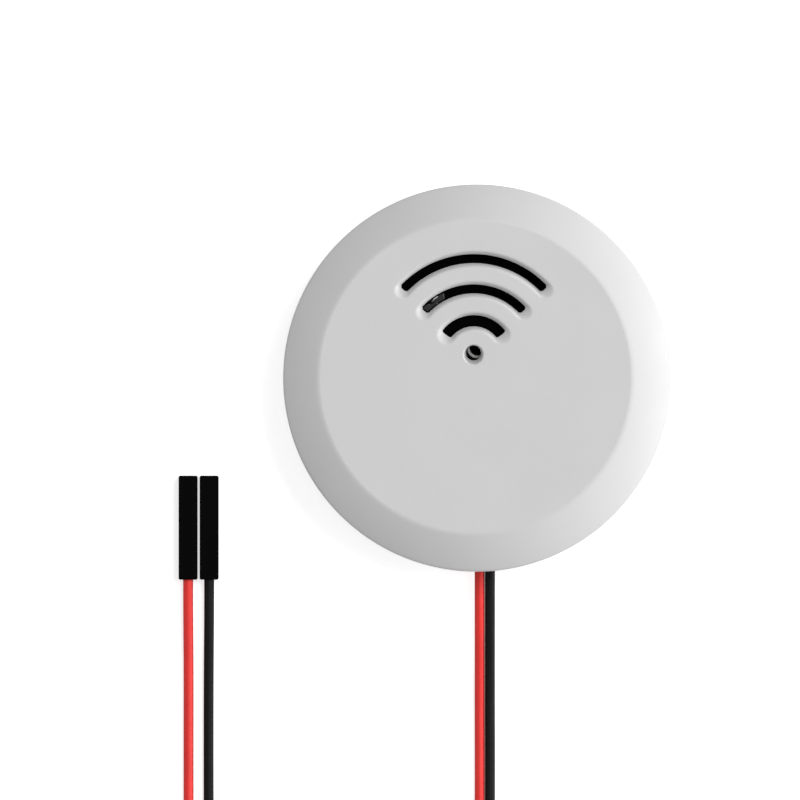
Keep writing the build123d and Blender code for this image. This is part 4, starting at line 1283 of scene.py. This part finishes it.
@dataclass
class CoilTies:
    """The two cable ties round the put-away coil: each a strap with rounded corners and a locking head.

    Attributes are sizes in metres. Each strap's inside reaches along Y from the first number of its
    span to the second, in millimetres, and its head stands on top at the third.
    """

    x: float = -18.05 * MM
    low: float = 0.35 * MM
    high: float = 3.51 * MM
    thickness: float = 0.35 * MM
    width: float = 2.4 * MM
    corner: float = 1.0 * MM
    edge_bend: float = 0.09 * MM
    spans: tuple[Point, ...] = ((-67.28, -61.32, -63.5), (-96.08, -88.72, -90.6))
    head_size: Point = (3.4 * MM, 3.0 * MM, 1.5 * MM)
    head_sunk: float = 0.1 * MM
    head_bend: float = 0.35 * MM
    tail_length: float = 1.4 * MM
    tail_hidden: float = 1.0 * MM

    def build(self) -> None:
        """Makes both ties as one piece."""
        shape = bmesh.new()
        for near, far, head in self.spans:
            self.add_strap(shape, near * MM, far * MM)
            self.add_head(shape, head * MM)
        finish_piece(to_piece(shape, "coil_cable_ties"), Finishes.TIE, "coil_ties")

    @staticmethod
    def run(edge: bmesh.types.BMEdge) -> float:
        """How far an edge runs along X."""
        return abs(edge.verts[0].co.x - edge.verts[1].co.x)

    def add_strap(self, shape: Shape, near: float, far: float) -> None:
        """Bends one strap round the turns of both leads.

        Args:
            shape: the bmesh that it goes into.
            near: where its inside starts along Y.
            far: where its inside ends.
        """
        around = 2 * self.thickness
        size = (self.width, far - near + around, self.high - self.low + around)
        strap = add_box(shape, size, (self.x, (near + far) / 2, (self.low + self.high) / 2))
        bends = [edge for edge in edges_at(strap) if self.run(edge) > MM]
        bent = soften(shape, bends, self.corner, 6, clamped=False)
        whole = list(dict.fromkeys(face for vertex in bent for face in vertex.link_faces))
        ends = [face for face in whole if abs(face.normal.x) > 0.9]
        bmesh.ops.inset_individual(shape, faces=ends, thickness=self.thickness, use_even_offset=True)
        rims = [edge for face in ends for edge in face.edges]
        bmesh.ops.delete(shape, geom=ends, context="FACES_ONLY")
        bmesh.ops.bridge_loops(shape, edges=rims)
        outer = [edge for face in whole if face.is_valid for edge in face.edges if self.run(edge) < WELD]
        soften(shape, dict.fromkeys([*rims, *outer]), self.edge_bend, 2)

    def add_head(self, shape: Shape, y: float) -> None:
        """Sets the locking head on the strap, with the strap's cut-off tail coming out of it.

        Args:
            shape: the bmesh that it goes into.
            y: where the head stands.
        """
        seat = self.high + self.thickness - self.head_sunk
        head = add_box(shape, self.head_size, (self.x, y, seat + self.head_size[2] / 2))
        soften(shape, edges_at(head), self.head_bend, 3)
        middle = seat + self.head_size[2] + (self.tail_length - self.tail_hidden) / 2
        size = (self.width, self.thickness, self.tail_length + self.tail_hidden)
        soften(shape, edges_at(add_box(shape, size, (self.x, y, middle))), self.edge_bend, 2)


class PackedParts:
    """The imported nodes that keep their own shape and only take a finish."""

    finishes: ClassVar[dict[Finish, tuple[str, ...]]] = {
        Finishes.HOUSING: ("rear_case",),
        Finishes.DOOR: ("battery_door",),
        Finishes.SEAL: ("case_gasket", "door_seal"),
        Finishes.SCREW: ("case_screws", "board_screws"),
        Finishes.CELL: ("coin_cell",),
        Finishes.CONTACT: (
            "positive_contact", "negative_contact", "red_socket_contact", "black_socket_contact",
        ),
        Finishes.BOARD: ("circuit_board", "radio_board"),
        Finishes.TIN: ("radio_shield", "sounder_pins", "solder_joints"),
        Finishes.BRASS: ("sounder_disc",),
        Finishes.PART_BLACK: (
            "sounder_base", "pair_switch_body", "pair_switch_plunger", "level_chip", "drive_transistor",
            "chip_resistors",
        ),
        Finishes.LENS: ("status_led",),
        Finishes.CERAMIC: ("chip_capacitors",),
        Finishes.GROMMET: ("lead_grommet",),
        Finishes.RED: ("red_lead_inner",),
        Finishes.BLACK: ("black_lead_inner",),
        Finishes.SOCKET: ("red_socket_housing", "black_socket_housing"),
    }

    def build(self) -> None:
        """Gives each node its finish."""
        for finish, names in self.finishes.items():
            for name in names:
                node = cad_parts[name]
                node.data.materials.clear()
                node.data.materials.append(finish.material())
                log.info("%s keeps its packed shape, finish %s", name, finish.name)


@dataclass
class Studio:
    """Camera, floor, sky and lamps.

    Attributes:
        look_at: the point on the object under the middle of the picture.
        camera_height: height of the lens above that point.
        lens: focal length in millimetres on a sensor of sensor_width.
        sky: how strongly the sky lights the object, where 1 shows a colour as written.
        lamps: each soft box's name, azimuth and elevation in degrees, level, width, height, distance.
        floor_colour: linear colour of the floor.
        floor_glow: how much light the floor adds where the camera sees it, which makes it white.
    """

    look_at: Point = (-10.315 * MM, -2.948 * MM, 12.9 * MM)
    camera_height: float = 3.6
    lens: float = 1206.9
    sensor_width: float = 36.0
    sky: float = 0.411
    lamps: tuple[tuple[str, float, float, float, float, float, float], ...] = (
        ("low_strip", 0.0, 9.0, 0.86, 1.7, 0.3, 1.5),
        ("key_box", 30.0, 65.0, 0.496, 0.6, 0.6, 1.4),
    )
    floor_radius: float = 6.0
    floor_colour: Colour = (0.84, 0.84, 0.84)
    floor_glow: float = 0.64

    def build(self) -> None:
        """Sets the whole studio up."""
        bpy.context.scene.view_settings.view_transform = "Standard"
        self.place_camera()
        self.place_floor()
        self.place_sky()
        self.place_lamps()

    def place_camera(self) -> None:
        """Puts the camera straight above, with +Y up in the picture."""
        data = bpy.data.cameras.new("camera")
        data.lens = self.lens
        data.sensor_width = self.sensor_width
        data.clip_start = 0.01
        data.clip_end = 50.0
        camera = bpy.data.objects.new("camera", data)
        camera.location = Vector(self.look_at) + UP * self.camera_height
        bpy.context.scene.collection.objects.link(camera)
        bpy.context.scene.camera = camera

    def place_floor(self) -> None:
        """Lays a wide pale floor that keeps the object's shadow and reads white to the camera."""
        shape = bmesh.new()
        bmesh.ops.create_circle(shape, cap_ends=True, segments=96, radius=self.floor_radius)
        floor = to_piece(shape, "floor")
        skin = Skin("floor_white", self.floor_colour, 0.9, 0.0)
        seen = skin.add("ShaderNodeLightPath", {})["Is Camera Ray"]
        glow = skin.math("MULTIPLY", seen, self.floor_glow)
        skin.feed(skin.shader, {"Emission Color": (1, 1, 1, 1), "Emission Strength": glow})
        floor.data.materials.append(skin.material)

    def place_sky(self) -> None:
        """Lights the scene evenly and shows white behind it."""
        world = bpy.data.worlds.new("studio_sky")
        world.use_nodes = True
        bpy.context.scene.world = world
        wiring = Wiring(world.node_tree)
        seen = wiring.add("ShaderNodeLightPath", {})
        shown = wiring.math("ADD", seen["Is Camera Ray"], seen["Is Glossy Ray"])
        shown = wiring.math("ADD", shown, seen["Is Transmission Ray"], clamp=True)
        light = {"Color": (1, 1, 1, 1), "Strength": wiring.spread(shown, 0.0, 1.0, self.sky, 1.0)}
        wiring.add("ShaderNodeOutputWorld", {"Surface": wiring.add("ShaderNodeBackground", light)[0]})

    def place_lamps(self) -> None:
        """Hangs the soft boxes, which face the object."""
        for name, azimuth, elevation, level, width, height, distance in self.lamps:
            data = bpy.data.lights.new(name, "AREA")
            data.shape = "RECTANGLE"
            data.size = width
            data.size_y = height
            data.energy = level * math.pi**2 * distance**2
            turn, lift = math.radians(azimuth), math.radians(elevation)
            level_share = math.cos(lift)
            away = Vector((level_share * math.cos(turn), level_share * math.sin(turn), math.sin(lift)))
            lamp = bpy.data.objects.new(name, data)
            lamp.location = Vector(self.look_at) + away * distance
            lamp.rotation_euler = away.to_track_quat("Z", "Y").to_euler()
            bpy.context.scene.collection.objects.link(lamp)


def main() -> None:
    """Builds the studio and the object; the ties come before the leads."""
    logging.basicConfig(level=logging.INFO, format="%(name)s: %(message)s")
    for part in (Studio, PackedParts, CoilTies, LeadPair, FrontShell, Sounder, DriverCoil):
        part().build()


if __name__ == "__main__":
    main()
